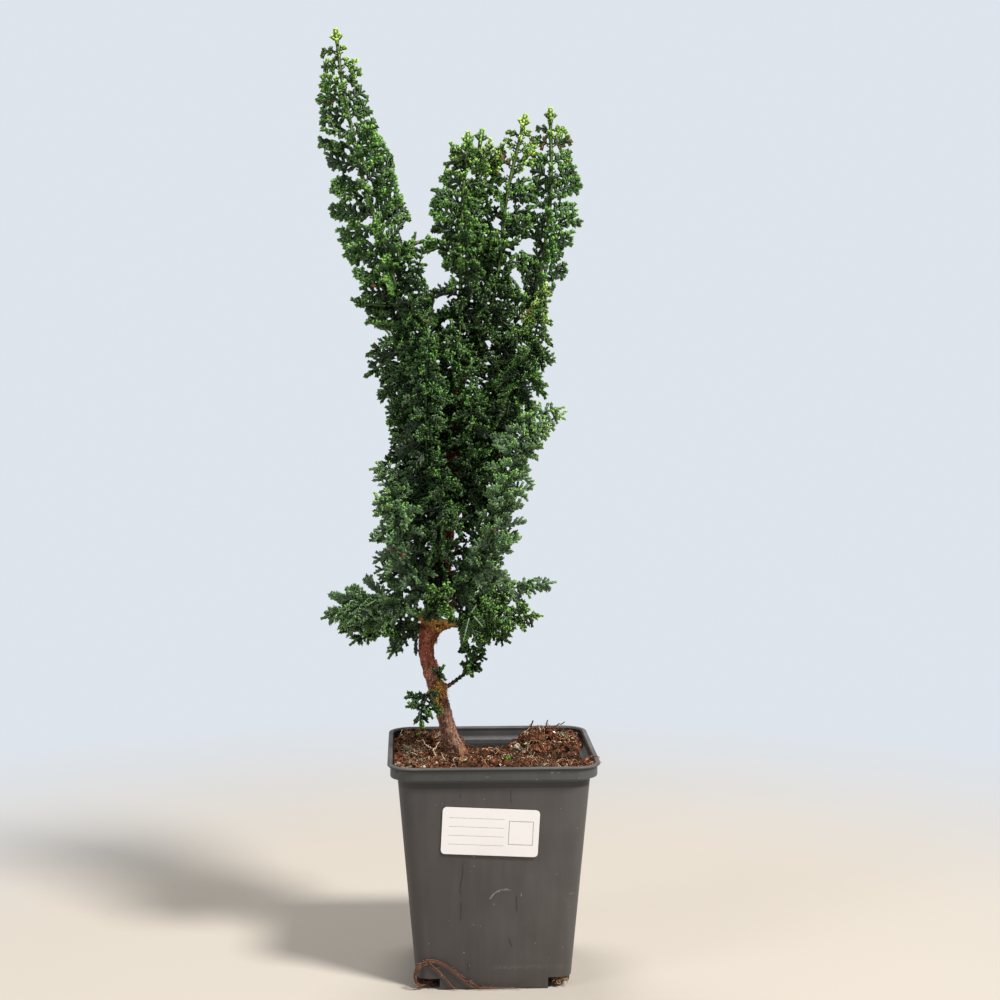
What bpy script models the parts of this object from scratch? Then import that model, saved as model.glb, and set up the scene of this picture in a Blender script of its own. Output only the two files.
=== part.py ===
"""A young hinoki cypress in a square nursery pot, at real size.

Metres, +Z up. The origin is on the ground under the middle of the pot, whose front
wall, with the label, faces -Y. The tree is one woody stem with its limbs, and leafy
shoots that each carry flat, lobed side sprays in opposite pairs.
"""

import math
import random

import bmesh
import bpy
from mathutils import Quaternion, Vector

# Driving dimensions of the pot
POT_HEIGHT = 0.120
LIP_HALF = 0.0550
COLLAR_HALF = 0.0535
COLLAR_HEIGHT = 0.0072
LEDGE_LOW = 0.0006
LEDGE_HIGH = 0.0022
WALL_TOP_HALF = 0.0498
WALL_FOOT_HALF = 0.0402
WALL = 0.0012
LIP_THICK = 0.0011
EDGE_ROUND = 0.0004
CORNER_RADIUS = 0.0090
FOOT_CORNER_RADIUS = 0.0070
NOTCH_SIDE = 0.0120
NOTCH_HEIGHT = 0.0060
DRAIN_SIDE = 0.0070
CORNER_STEPS = 3

# Small gap between pieces that touch
GAP = 0.0003

# Soil surface. A heap is its place, height and spread; the bank runs along the front wall,
# and the gully lies against the back wall
SOIL_LEVEL = 0.1122
SOIL_EDGE_DROP = 0.0018
SOIL_BEND = 0.0950
SOIL_RINGS = 7
SOIL_LUMPS = 0.0008
HEAPS = [(0.031, 0.028, 0.0072, 0.0145), (-0.036, 0.020, 0.0036, 0.0173)]
BANK_Y = -0.030
BANK_HEIGHT = 0.0022
BANK_SPREAD = 0.0122
GULLY_X = 0.003
GULLY_HALF_WIDTH = 0.0135
GULLY_FRONT_Y = 0.026
GULLY_SLOPE = 0.0035
GULLY_DEPTH = 0.0100
CRUMBS = 14
CRUMB_SEED = 11

# Label on the front wall
LABEL_WIDTH = 0.050
LABEL_HEIGHT = 0.025
LABEL_THICK = 0.0006
LABEL_CORNER = 0.002
LABEL_X = -0.0022
LABEL_Z = 0.0852
LABEL_TILT = math.radians(2.8)

# Wood: points of the stem's middle line with its radius there
TRUNK = [
    ((-0.0170, 0.0090, 0.0720), 0.0036),
    ((-0.0178, 0.0086, 0.0960), 0.0058),
    ((-0.0186, 0.0080, 0.1130), 0.0054),
    ((-0.0217, 0.0060, 0.1235), 0.0045),
    ((-0.0238, 0.0040, 0.1330), 0.0041),
    ((-0.0262, 0.0020, 0.1425), 0.0040),
    ((-0.0288, 0.0005, 0.1510), 0.0043),
    ((-0.0325, 0.0000, 0.1615), 0.0038),
    ((-0.0345, 0.0000, 0.1725), 0.0039),
    ((-0.0340, 0.0000, 0.1815), 0.0043),
    ((-0.0315, 0.0000, 0.1900), 0.0047),
    ((-0.0270, 0.0020, 0.2000), 0.0036),
    ((-0.0240, 0.0040, 0.2180), 0.0031),
    ((-0.0212, 0.0050, 0.2500), 0.0026),
    ((-0.0190, 0.0050, 0.2840), 0.0020),
    ((-0.0172, 0.0050, 0.3080), 0.0016),
]
TRUNK_SIDES = 9

# Leafy shoots: the path from the wood to the tip, the length of the side sprays near the wood
# and near the tip, and the turn of the flat of the shoot from facing -Y, in degrees.
SHOOTS = {
    "leader_tall_left": ([(-0.0270, 0.0010, 0.2120), (-0.0384, -0.0050, 0.3060),
                          (-0.0520, -0.0060, 0.3740), (-0.0652, -0.0060, 0.4150),
                          (-0.0762, -0.0060, 0.4660), (-0.0800, -0.0060, 0.4945)],
                         0.0240, 0.0200, 0),
    "leader_mid_left": ([(-0.0190, 0.0050, 0.2840), (-0.0162, 0.0010, 0.3430),
                         (-0.0150, 0.0000, 0.4030), (-0.0120, 0.0000, 0.4430)],
                        0.0180, 0.0220, 15),
    "leader_mid_centre": ([(-0.0180, 0.0050, 0.2960), (-0.0085, 0.0160, 0.3530),
                           (-0.0060, 0.0160, 0.3890), (0.0000, 0.0120, 0.4410)],
                          0.0160, 0.0200, -48),
    "leader_mid_right": ([(-0.0172, 0.0050, 0.3080), (0.0020, 0.0080, 0.3600),
                          (0.0086, 0.0060, 0.4110), (0.0182, 0.0060, 0.4530)],
                         0.0170, 0.0170, -12),
    "leader_right": ([(-0.0205, 0.0050, 0.2620), (0.0054, 0.0130, 0.3160),
                      (0.0235, 0.0120, 0.3600), (0.0322, 0.0120, 0.4100),
                      (0.0322, 0.0120, 0.4570)],
                     0.0120, 0.0200, 6),
    "shoot_front_right": ([(-0.0225, 0.0050, 0.2360), (0.0030, -0.0150, 0.2860),
                           (0.0190, -0.0200, 0.3280), (0.0276, -0.0200, 0.3640)],
                          0.0190, 0.0190, 12),
    "shoot_right_sweep": ([(-0.0275, 0.0000, 0.1960), (-0.0060, -0.0190, 0.2200),
                           (0.0040, -0.0250, 0.2480), (0.0140, -0.0275, 0.2840),
                           (0.0360, -0.0250, 0.2990)],
                          0.0190, 0.0120, 22),
    "shoot_left_front": ([(-0.0310, 0.0000, 0.1900), (-0.0440, -0.0180, 0.2220),
                          (-0.0500, -0.0240, 0.2500), (-0.0595, -0.0240, 0.2690)],
                         0.0240, 0.0160, -30),
    "branch_low_left": ([(-0.0325, 0.0000, 0.1860), (-0.0480, -0.0120, 0.1975),
                         (-0.0680, -0.0160, 0.1985), (-0.0870, -0.0160, 0.1925)],
                        0.0200, 0.0180, 25),
    "branch_low_left_droop": ([(-0.0335, 0.0000, 0.1830), (-0.0450, 0.0020, 0.1870),
                               (-0.0590, 0.0010, 0.1870), (-0.0730, -0.0020, 0.1770)],
                              0.0200, 0.0180, -20),
    "branch_low_left_inner": ([(-0.0340, 0.0000, 0.1800), (-0.0400, -0.0120, 0.1850),
                               (-0.0470, -0.0180, 0.1820), (-0.0530, -0.0190, 0.1730)],
                              0.0130, 0.0110, 30),
    "branch_low_right": ([(-0.0300, 0.0000, 0.1930), (-0.0110, 0.0000, 0.2000),
                          (0.0120, -0.0020, 0.2055), (0.0320, -0.0040, 0.2085)],
                         0.0150, 0.0100, 20),
    "branch_low_right_front": ([(-0.0315, 0.0000, 0.1880), (-0.0130, -0.0150, 0.1890),
                                (0.0060, -0.0210, 0.1925), (0.0240, -0.0210, 0.1930)],
                               0.0180, 0.0130, 30),
    "branch_low_right_under": ([(-0.0325, 0.0000, 0.1850), (-0.0180, -0.0010, 0.1850),
                                (-0.0030, -0.0040, 0.1840), (0.0080, -0.0060, 0.1780)],
                               0.0150, 0.0110, 10),
    "twig_knot_right": ([(-0.0280, 0.0010, 0.1490), (-0.0190, -0.0030, 0.1560),
                         (-0.0125, -0.0060, 0.1620), (-0.0085, -0.0110, 0.1700),
                         (-0.0060, -0.0120, 0.1770)],
                        0.0120, 0.0120, 0),
    "sprig_trunk_left": ([(-0.0290, 0.0000, 0.1500), (-0.0330, -0.0095, 0.1505),
                          (-0.0370, -0.0115, 0.1430), (-0.0375, -0.0115, 0.1345)],
                         0.0100, 0.0100, 0),
    "sprig_trunk_front": ([(-0.0310, 0.0000, 0.1575), (-0.0290, -0.0110, 0.1620),
                           (-0.0265, -0.0130, 0.1710)],
                          0.0080, 0.0070, 0),
    "shoot_front_high": ([(-0.0235, 0.0042, 0.2240), (-0.0330, -0.0180, 0.2700),
                          (-0.0345, -0.0260, 0.3050), (-0.0330, -0.0270, 0.3400)],
                         0.0210, 0.0150, 24),
    "shoot_between_leaders": ([(-0.0205, 0.0050, 0.2620), (-0.0345, -0.0110, 0.3200),
                               (-0.0415, -0.0170, 0.3550), (-0.0350, -0.0170, 0.3860)],
                              0.0190, 0.0150, -30),
    "shoot_left_high": ([(-0.0250, 0.0035, 0.2130), (-0.0400, 0.0110, 0.2600),
                         (-0.0465, 0.0150, 0.3000), (-0.0560, 0.0150, 0.3300)],
                        0.0200, 0.0150, 30),
    "shoot_back_left_high": ([(-0.0225, 0.0045, 0.2360), (-0.0330, 0.0220, 0.3000),
                              (-0.0330, 0.0260, 0.3640)],
                             0.0210, 0.0150, 58),
    "shoot_back_right_high": ([(-0.0212, 0.0050, 0.2500), (0.0020, 0.0260, 0.2980),
                               (0.0090, 0.0300, 0.3600)],
                              0.0200, 0.0140, -60),
    "shoot_front_low": ([(-0.0270, 0.0020, 0.2030), (-0.0270, -0.0210, 0.2370),
                         (-0.0280, -0.0290, 0.2800)],
                        0.0190, 0.0150, 66),
    "shoot_front_upper": ([(-0.0205, 0.0050, 0.2620), (-0.0200, -0.0110, 0.3000),
                           (-0.0210, -0.0160, 0.3450)],
                          0.0170, 0.0150, 0),
    "shoot_mid_front": ([(-0.0228, 0.0048, 0.2310), (-0.0120, -0.0160, 0.2700),
                         (-0.0110, -0.0220, 0.3250)],
                        0.0190, 0.0150, -52),
    "sprig_front_low": ([(-0.0318, -0.0010, 0.1895), (-0.0310, -0.0230, 0.1960),
                         (-0.0240, -0.0340, 0.2110)],
                        0.0140, 0.0120, 30),
    "shoot_back_low_left": ([(-0.0290, 0.0010, 0.1960), (-0.0400, 0.0250, 0.2120),
                             (-0.0460, 0.0300, 0.2460)],
                            0.0200, 0.0150, 48),
    "shoot_back_low_right": ([(-0.0275, 0.0020, 0.1990), (-0.0040, 0.0240, 0.2120),
                              (0.0060, 0.0300, 0.2420)],
                             0.0200, 0.0150, -50),
    "shoot_back_mid": ([(-0.0240, 0.0040, 0.2180), (-0.0190, 0.0300, 0.2560),
                        (-0.0160, 0.0350, 0.3140)],
                       0.0200, 0.0150, 84),
}
SHOOT_SEED = 5
STEM_BASE_RADIUS = 0.0015
STEM_TIP_RADIUS = 0.0009
STEM_STEP = 0.0090
FOOT_SIDES = 4
CLEAR_OF_OTHERS = 0.0042
CLEAR_OF_STEMS = 0.0026
SPRAY_PITCH = 0.0128
SPRAY_ANGLE = math.radians(56)
SPRAY_SLIMNESS = 0.75
WIDEST_SPRAY = 0.0096
SHORTEST_SPRAY = 0.0045
SPRAY_CLEARANCE = 0.0006
SPRAY_HALF_THICK = 0.0009
SPRAY_ARCH = 0.10
FRONT_SPRAY_SHARE = 0.90
BUD_LENGTH = 0.0550
BUD_SHARE = 0.30
NEIGHBOUR_MARGIN = 0.0007
WOOD_MARGIN = 0.0011
# Half outline of a side spray: share of its length, share of its width. Each peak is a twiglet.
FIVE_LOBES = [(0.50, 0.50), (0.44, 0.26), (0.82, 0.42), (0.74, 0.19), (1.00, 0.0)]
THREE_LOBES = [(0.62, 0.50), (0.54, 0.24), (1.00, 0.0)]
LOBES_MIDDLE = 0.28

# Root that grew out of the front left drain hole and lies against the wall
LOOSE_ROOT = [(-0.0330, -0.0345, 0.0032), (-0.0375, -0.0395, 0.0022), (-0.0408, -0.0418, 0.0050),
              (-0.0412, -0.0424, 0.0105), (-0.0375, -0.0427, 0.0150), (-0.0310, -0.0427, 0.0158),
              (-0.0240, -0.0423, 0.0125), (-0.0170, -0.0418, 0.0065), (-0.0110, -0.0415, 0.0016),
              (-0.0020, -0.0417, 0.0012)]
LOOSE_ROOT_RADIUS = 0.0007


def clear_scene():
    for obj in list(bpy.data.objects):
        bpy.data.objects.remove(obj)


def material(name, colour, roughness, metallic=0.0):
    made = bpy.data.materials.new(name)
    made.use_nodes = True
    shader = made.node_tree.nodes["Principled BSDF"]
    shader.inputs["Base Color"].default_value = (*colour, 1.0)
    shader.inputs["Roughness"].default_value = roughness
    shader.inputs["Metallic"].default_value = metallic
    return made


def add_object(name, bm, finish=None):
    """The bmesh as a new object, with its normals facing out."""
    bmesh.ops.recalc_face_normals(bm, faces=bm.faces)
    mesh = bpy.data.meshes.new(name)
    bm.to_mesh(mesh)
    bm.free()
    obj = bpy.data.objects.new(name, mesh)
    bpy.context.scene.collection.objects.link(obj)
    if finish:
        mesh.materials.append(finish)
    return obj


def loft(rings):
    """A closed bmesh through rings of equally many points, with both ends capped."""
    bm = bmesh.new()
    rows = [[bm.verts.new(point) for point in ring] for ring in rings]
    count = len(rings[0])
    for low, high in zip(rows, rows[1:]):
        for i in range(count):
            j = (i + 1) % count
            bm.faces.new((low[i], low[j], high[j], high[i]))
    bm.faces.new(rows[0][::-1])
    bm.faces.new(rows[-1])
    return bm


def rounded_square(half, corner, z):
    """Points of a square of that half width, its corners rounded to that radius."""
    points = []
    centre = half - corner
    for quarter, (sx, sy) in enumerate(((1, 1), (-1, 1), (-1, -1), (1, -1))):
        for step in range(CORNER_STEPS + 1):
            turn = math.radians(90) * (quarter + step / CORNER_STEPS)
            points.append(Vector((sx * centre + corner * math.cos(turn),
                                  sy * centre + corner * math.sin(turn), z)))
    return points


def box_mesh(low, high):
    bm = bmesh.new()
    bmesh.ops.create_cube(bm, size=1.0)
    size = Vector(high) - Vector(low)
    middle = (Vector(high) + Vector(low)) / 2
    for vert in bm.verts:
        vert.co = Vector((vert.co.x * size.x, vert.co.y * size.y, vert.co.z * size.z)) + middle
    return bm


def boolean(obj, others, operation, solver="EXACT"):
    """Cuts the others from obj, or joins them to it, and removes them."""
    group = bpy.data.collections.new("operands")
    bpy.context.scene.collection.children.link(group)
    for other in others:
        bpy.context.scene.collection.objects.unlink(other)
        group.objects.link(other)
    step = obj.modifiers.new(operation.lower(), "BOOLEAN")
    step.operation = operation
    step.operand_type = "COLLECTION"
    step.collection = group
    step.solver = solver
    graph = bpy.context.evaluated_depsgraph_get()
    result = bpy.data.meshes.new_from_object(obj.evaluated_get(graph))
    obj.modifiers.clear()
    old = obj.data
    obj.data = result
    bpy.data.meshes.remove(old)
    for other in others:
        bpy.data.objects.remove(other)
    bpy.data.collections.remove(group)


def smooth_path(points, step):
    """Points a step apart along a Catmull-Rom curve through the given ones."""
    knots = [Vector(p) for p in points]
    knots = [knots[0] * 2 - knots[1], *knots, knots[-1] * 2 - knots[-2]]
    fine = []
    for a, b, c, d in zip(knots, knots[1:], knots[2:], knots[3:]):
        for k in range(24):
            t = k / 24
            fine.append(0.5 * (2 * b + (c - a) * t + (2 * a - 5 * b + 4 * c - d) * t ** 2
                               + (3 * b - a - 3 * c + d) * t ** 3))
    fine.append(knots[-2])
    run = [0.0]
    for a, b in zip(fine, fine[1:]):
        run.append(run[-1] + (b - a).length)
    count = max(2, round(run[-1] / step))
    path = []
    at = 0
    for k in range(count + 1):
        want = run[-1] * k / count
        while at < len(run) - 2 and run[at + 1] < want:
            at += 1
        share = (want - run[at]) / max(run[at + 1] - run[at], 1e-9)
        path.append(fine[at].lerp(fine[at + 1], min(share, 1.0)))
    return path


def tangent(path, i):
    return (path[min(i + 1, len(path) - 1)] - path[max(i - 1, 0)]).normalized()


def tube(path, radii, sides, last=None):
    """A closed tube along the path, its sections square to it, the last one to a given direction."""
    side = Vector((1, 0, 0))
    rings = []
    for i, (point, radius) in enumerate(zip(path, radii)):
        along = tangent(path, i)
        if last and i == len(path) - 1:
            along = last
        side = (side - along * side.dot(along)).normalized()
        across = along.cross(side)
        turns = [2 * math.pi * k / sides for k in range(sides)]
        rings.append([point + (side * math.cos(turn) + across * math.sin(turn)) * radius
                      for turn in turns])
    return loft(rings)


def make_pot(finish):
    """Square pot: tapered wall, stepped collar, thin lip, and a raised, drained corner four times over."""
    collar_foot = POT_HEIGHT - COLLAR_HEIGHT
    lip_foot = POT_HEIGHT - LIP_THICK
    lip_corner = CORNER_RADIUS + LIP_HALF - COLLAR_HALF
    inner_corner = CORNER_RADIUS - WALL
    outer = loft([
        rounded_square(WALL_FOOT_HALF - 2 * EDGE_ROUND, FOOT_CORNER_RADIUS, 0.0),
        rounded_square(WALL_FOOT_HALF, FOOT_CORNER_RADIUS, 2 * EDGE_ROUND),
        rounded_square(WALL_TOP_HALF, CORNER_RADIUS, collar_foot),
        rounded_square(COLLAR_HALF - 2 * EDGE_ROUND, CORNER_RADIUS, collar_foot + EDGE_ROUND),
        rounded_square(COLLAR_HALF, CORNER_RADIUS, collar_foot + 3 * EDGE_ROUND),
        rounded_square(COLLAR_HALF, CORNER_RADIUS, lip_foot - EDGE_ROUND),
        rounded_square(LIP_HALF, lip_corner, lip_foot),
        rounded_square(LIP_HALF, lip_corner, POT_HEIGHT - EDGE_ROUND),
        rounded_square(LIP_HALF - EDGE_ROUND, lip_corner, POT_HEIGHT),
    ])
    hollow = loft([
        rounded_square(WALL_FOOT_HALF - WALL, FOOT_CORNER_RADIUS - WALL, WALL),
        rounded_square(WALL_TOP_HALF - WALL, inner_corner, collar_foot + LEDGE_LOW),
        rounded_square(COLLAR_HALF - WALL, inner_corner, collar_foot + LEDGE_HIGH),
        rounded_square(COLLAR_HALF - WALL, inner_corner, POT_HEIGHT + 0.01),
    ])
    notches = []
    steps = []
    drains = []
    notch_edge = WALL_FOOT_HALF - NOTCH_SIDE
    past_wall = WALL_FOOT_HALF + 0.01
    for sx, sy in [(-1, -1), (-1, 1), (1, -1), (1, 1)]:
        notches.append(corner_box(sx, sy, notch_edge, past_wall, -0.01, NOTCH_HEIGHT))
        steps.append(corner_box(sx, sy, notch_edge - WALL, past_wall, -0.01, NOTCH_HEIGHT + WALL))
        drains.append(corner_box(sx, sy, notch_edge + WALL, notch_edge + WALL + DRAIN_SIDE,
                                 NOTCH_HEIGHT - WALL, NOTCH_HEIGHT + 2 * WALL))
    pot = add_object("pot", outer, finish)
    inside = add_object("inside", hollow)
    boolean(inside, steps, "DIFFERENCE")
    boolean(pot, notches, "DIFFERENCE")
    boolean(pot, [inside], "DIFFERENCE")
    boolean(pot, drains, "DIFFERENCE")
    pot.data.shade_smooth()
    pot.data.set_sharp_from_angle(angle=math.radians(30))
    return pot


def corner_box(sx, sy, near, far, low, high):
    """A box at one corner, between two distances from the middle along X and along Y."""
    xs = sorted((sx * near, sx * far))
    ys = sorted((sy * near, sy * far))
    return add_object("corner", box_mesh((xs[0], ys[0], low), (xs[1], ys[1], high)))


def soil_height(x, y):
    """Height of the soil surface at a place."""
    height = SOIL_LEVEL + SOIL_LUMPS * math.sin(x * 410 + 1.0) * math.cos(y * 370)
    for heap_x, heap_y, rise, spread in HEAPS:
        height += rise * math.exp(-((x - heap_x) ** 2 + (y - heap_y) ** 2) / (2 * spread ** 2))
    height += BANK_HEIGHT * math.exp(-(y - BANK_Y) ** 2 / (2 * BANK_SPREAD ** 2))
    behind = 1 / (1 + math.exp((GULLY_FRONT_Y - y) / GULLY_SLOPE))
    return height - GULLY_DEPTH * behind * math.exp(-((x - GULLY_X) / GULLY_HALF_WIDTH) ** 4)


def wall_inner_half(z):
    """Half width of the inside of the pot at a height."""
    share = (z - WALL) / (POT_HEIGHT - COLLAR_HEIGHT + LEDGE_LOW - WALL)
    return (WALL_FOOT_HALF - WALL) + (WALL_TOP_HALF - WALL_FOOT_HALF) * share


def make_soil(finish):
    """Soil filling the pot, with its relief and crumbs, and a hole for the stem."""
    bottom = WALL + GAP
    edge = SOIL_LEVEL - SOIL_EDGE_DROP
    inner_corner = CORNER_RADIUS - WALL
    top_ring = rounded_square(wall_inner_half(edge) - GAP, inner_corner, edge)
    rings = [rounded_square(wall_inner_half(bottom) - GAP, FOOT_CORNER_RADIUS - WALL, bottom),
             rounded_square(wall_inner_half(SOIL_BEND) - GAP, inner_corner, SOIL_BEND)]
    for k in range(SOIL_RINGS):
        shrink = 1.0 - (k / SOIL_RINGS) ** 1.15
        rings.append([Vector((p.x * shrink, p.y * shrink, soil_height(p.x * shrink, p.y * shrink)))
                      for p in top_ring])
    soil = add_object("soil", loft(rings), finish)
    steps = []
    near = WALL_FOOT_HALF - NOTCH_SIDE - WALL - GAP
    for sx, sy in [(-1, -1), (-1, 1), (1, -1), (1, 1)]:
        steps.append(corner_box(sx, sy, near, LIP_HALF, -0.01, NOTCH_HEIGHT + WALL + GAP))
    boolean(soil, steps, "DIFFERENCE")
    stem_x, stem_y, _ = TRUNK[2][0]
    draw = random.Random(CRUMB_SEED)
    crumbs = []
    while len(crumbs) < CRUMBS:
        x = draw.uniform(-0.043, 0.043)
        y = draw.uniform(-0.043, 0.043)
        if math.hypot(x - stem_x, y - stem_y) > 0.012:
            crumbs.append(crumb(x, y, draw))
    boolean(soil, crumbs, "UNION")
    boolean(soil, [add_object("stem_hole", stem_hole())], "DIFFERENCE")
    return soil


def crumb(x, y, draw):
    """One lump of bark or perlite, half sunk in the soil."""
    bm = bmesh.new()
    size = draw.uniform(0.0014, 0.0030)
    bmesh.ops.create_icosphere(bm, subdivisions=1, radius=size)
    for vert in bm.verts:
        vert.co *= draw.uniform(0.75, 1.2)
        vert.co += Vector((x, y, soil_height(x, y) + 0.15 * size))
    return add_object("crumb", bm)


def stem_hole():
    """The foot of the stem grown by the gap, and run on out of the soil."""
    points = [Vector(p) for p, _ in TRUNK[:4]]
    radii = [r + GAP * 1.6 for _, r in TRUNK[:4]]
    return tube([points[0] - Vector((0, 0, GAP)), *points[1:], points[3] * 2 - points[2]],
                [*radii, radii[3]], TRUNK_SIDES)


def make_label(finish):
    """Blank paper label, its face parallel to the tapered front wall."""
    slope = (WALL_TOP_HALF - WALL_FOOT_HALF) / (POT_HEIGHT - COLLAR_HEIGHT)
    face = WALL_FOOT_HALF + slope * LABEL_Z
    outline = []
    for quarter, (sx, sy) in enumerate(((1, 1), (-1, 1), (-1, -1), (1, -1))):
        for step in range(CORNER_STEPS + 1):
            turn = math.radians(90) * (quarter + step / CORNER_STEPS)
            outline.append((sx * (LABEL_WIDTH / 2 - LABEL_CORNER) + LABEL_CORNER * math.cos(turn),
                            sy * (LABEL_HEIGHT / 2 - LABEL_CORNER) + LABEL_CORNER * math.sin(turn)))
    bm = loft([[Vector((x, y, z)) for x, y in outline] for z in (0.0, LABEL_THICK)])
    label = add_object("label", bm, finish)
    label.location = (LABEL_X, -face - GAP, LABEL_Z)
    label.rotation_euler = (math.radians(90) + math.atan(slope), LABEL_TILT, 0)
    return label


def closest(point, path):
    """Least distance from a point to a path."""
    best = 1.0
    for a, b in zip(path, path[1:]):
        run = b - a
        share = max(0.0, min(1.0, (point - a).dot(run) / max(run.length_squared, 1e-12)))
        best = min(best, (point - a - run * share).length)
    return best


def wood_clearance(point):
    """How far a point lies outside the stem's bark."""
    best = 1.0
    for (a, ra), (b, rb) in zip(TRUNK, TRUNK[1:]):
        start = Vector(a)
        run = Vector(b) - start
        share = max(0.0, min(1.0, (point - start).dot(run) / run.length_squared))
        best = min(best, (point - start - run * share).length - (ra + (rb - ra) * share))
    return best


def turn_green(name, paths):
    """Index along a shoot's path from which it is clear of the stem and of every other shoot."""
    path = paths[name]
    first = len(path) - 1
    for i in range(len(path) - 1, 0, -1):
        others = min(closest(path[i], paths[n]) for n in paths if n != name)
        if others < CLEAR_OF_OTHERS or wood_clearance(path[i]) < CLEAR_OF_OTHERS / 2:
            break
        first = i
    return min(first, len(path) - 2)


def spray_outline(root, heading, back, length, lobes, jitter):
    """Outline of a side spray from its rear edge round the tip to its front edge, and its middle."""
    half = min(SPRAY_SLIMNESS * length, WIDEST_SPRAY)
    down = Vector((0, 0, -1))
    down -= heading * down.dot(heading)

    def place(share, reach):
        sag = down * (SPRAY_ARCH * length * share ** 2)
        return root + heading * (share * length) + back * (reach * half) + sag

    rear = [place(share, reach * draw) for (share, reach), draw in zip(lobes, jitter)]
    front = [place(share, -reach * draw) for (share, reach), draw in zip(lobes, jitter[::-1])]
    return rear + front[-2::-1], place(LOBES_MIDDLE, 0.0)


def fits(points, own, others):
    """True if the points are nearer their own stem than any other wood or stem."""
    for point in points:
        if wood_clearance(point) < WOOD_MARGIN:
            return False
        mine = closest(point, own)
        for other in others:
            theirs = closest(point, other)
            if theirs < mine + NEIGHBOUR_MARGIN or theirs < CLEAR_OF_STEMS:
                return False
    return True


def grown_spray(root, along, out, normal, length, lobes, before, own, others, draw):
    """Outline, middle and normal of the longest spray that has room, or nothing."""
    angle = SPRAY_ANGLE + math.radians(draw.uniform(-2, 2))
    tilt = math.radians(draw.uniform(-12, 12))
    jitter = [draw.uniform(0.85, 1.0) for _ in lobes]
    leaning = out * math.cos(tilt) + normal * math.sin(tilt)
    normal = normal * math.cos(tilt) - out * math.sin(tilt)
    heading = along * math.cos(angle) + leaning * math.sin(angle)
    back = leaning * math.cos(angle) - along * math.sin(angle)
    while length > SHORTEST_SPRAY:
        outline, middle = spray_outline(root, heading, back, length, lobes, jitter)
        between = [(a + b) / 2 for a, b in zip(outline, outline[1:])]
        points = outline + between + [middle]
        apart = not before or min(closest(p, before) for p in points) > SPRAY_CLEARANCE
        if apart and fits(points, own, others):
            return outline, middle, normal
        length *= 0.84
    return None


def point_on(path, distance):
    """The point at a distance along a path, and the path's direction there."""
    for a, b in zip(path, path[1:]):
        step = (b - a).length
        if distance <= step:
            return a.lerp(b, distance / step), (b - a).normalized()
        distance -= step
    return path[-1], (path[-1] - path[-2]).normalized()


def stem_frames(stem, first, turn, count):
    """Evenly spaced stations on a stem: point, direction, and the directions of its four corners."""
    run = sum((b - a).length for a, b in zip(stem, stem[1:]))
    stations = [point_on(stem, run * k / count) for k in range(count + 1)]
    stations[0] = (stem[0], first)
    last = stations[-1][1]
    side = Quaternion(last, math.radians(turn)) @ Vector((0, 1, 0)).cross(last).normalized()
    frames = []
    for point, along in reversed(stations):
        side = (side - along * side.dot(along)).normalized()
        face = along.cross(side)
        frames.insert(0, (point, along, (side, face, -side, -face)))
    return frames, run


def add_segment(bm, low, high, sprays):
    """The skin between two rings of four corners. A corner with a spray follows its outline."""
    for corner in range(4):
        after = (corner + 1) % 4
        if sprays[corner]:
            outline, front, _ = sprays[corner]
            rim = [low[corner], *outline, high[corner], high[after], low[after]]
            middle = front
        elif sprays[after]:
            outline, _, rear = sprays[after]
            rim = [low[corner], low[after], *outline, high[after], high[corner]]
            middle = rear
        else:
            bm.faces.new((low[corner], low[after], high[after], high[corner]))
            continue
        for a, b in zip(rim, rim[1:] + rim[:1]):
            bm.faces.new((a, b, middle))


def make_shoot(name, paths, green, finish):
    """One leafy shoot as one skin: a four-cornered stem whose corners open into flat sprays.

    Pairs of sprays to the left and right take turns with smaller ones to the front and back.
    """
    _, base_reach, tip_reach, turn = SHOOTS[name]
    path = paths[name]
    others = [paths[n] for n in paths if n != name]
    draw = random.Random(SHOOT_SEED + sum(map(ord, name)))
    start = green[name]
    stem = [path[start] + tangent(path, start) * GAP, *path[start + 1:]]
    length = sum((b - a).length for a, b in zip(stem, stem[1:]))
    count = max(2, round(length / (SPRAY_PITCH / 2)))
    frames, run = stem_frames(stem, tangent(path, start), turn, count)
    bm = bmesh.new()
    rings = []
    for k, (point, _, corners) in enumerate(frames):
        radius = STEM_BASE_RADIUS + (STEM_TIP_RADIUS - STEM_BASE_RADIUS) * k / count
        rings.append([bm.verts.new(point + corner * radius) for corner in corners])
    before = [None] * 4
    bud = min(BUD_LENGTH, run / 2)
    for k in range(count):
        point, along, corners = frames[k]
        point = (point + frames[k + 1][0]) / 2
        done = (k + 0.5) / count
        long = base_reach + (tip_reach - base_reach) * done
        long *= min(1.0, BUD_SHARE + (1 - BUD_SHARE) * run * (1 - done) / bud) * draw.uniform(0.88, 1.0)
        sprays = [None] * 4
        if k % 2:
            pair, lobes = (0, 2), FIVE_LOBES
        else:
            pair, lobes = (1, 3), THREE_LOBES
            long *= FRONT_SPRAY_SHARE
        for corner in pair if k % 4 else ():
            root = point + corners[corner] * STEM_BASE_RADIUS
            normal = corners[(corner + 1) % 4]
            grown = grown_spray(root, along, corners[corner], normal, long, lobes, before[corner],
                                path, others, draw)
            if grown:
                outline, middle, normal = grown
                before[corner] = outline
                sprays[corner] = ([bm.verts.new(p) for p in outline],
                                  bm.verts.new(middle + normal * SPRAY_HALF_THICK),
                                  bm.verts.new(middle - normal * SPRAY_HALF_THICK))
        add_segment(bm, rings[k], rings[k + 1], sprays)
    bud = bm.verts.new(stem[-1] + frames[-1][1] * 0.0025)
    for corner in range(4):
        bm.faces.new((rings[-1][corner], rings[-1][(corner + 1) % 4], bud))
    bm.faces.new(rings[0][::-1])
    return add_object(name, bm, finish)


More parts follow.
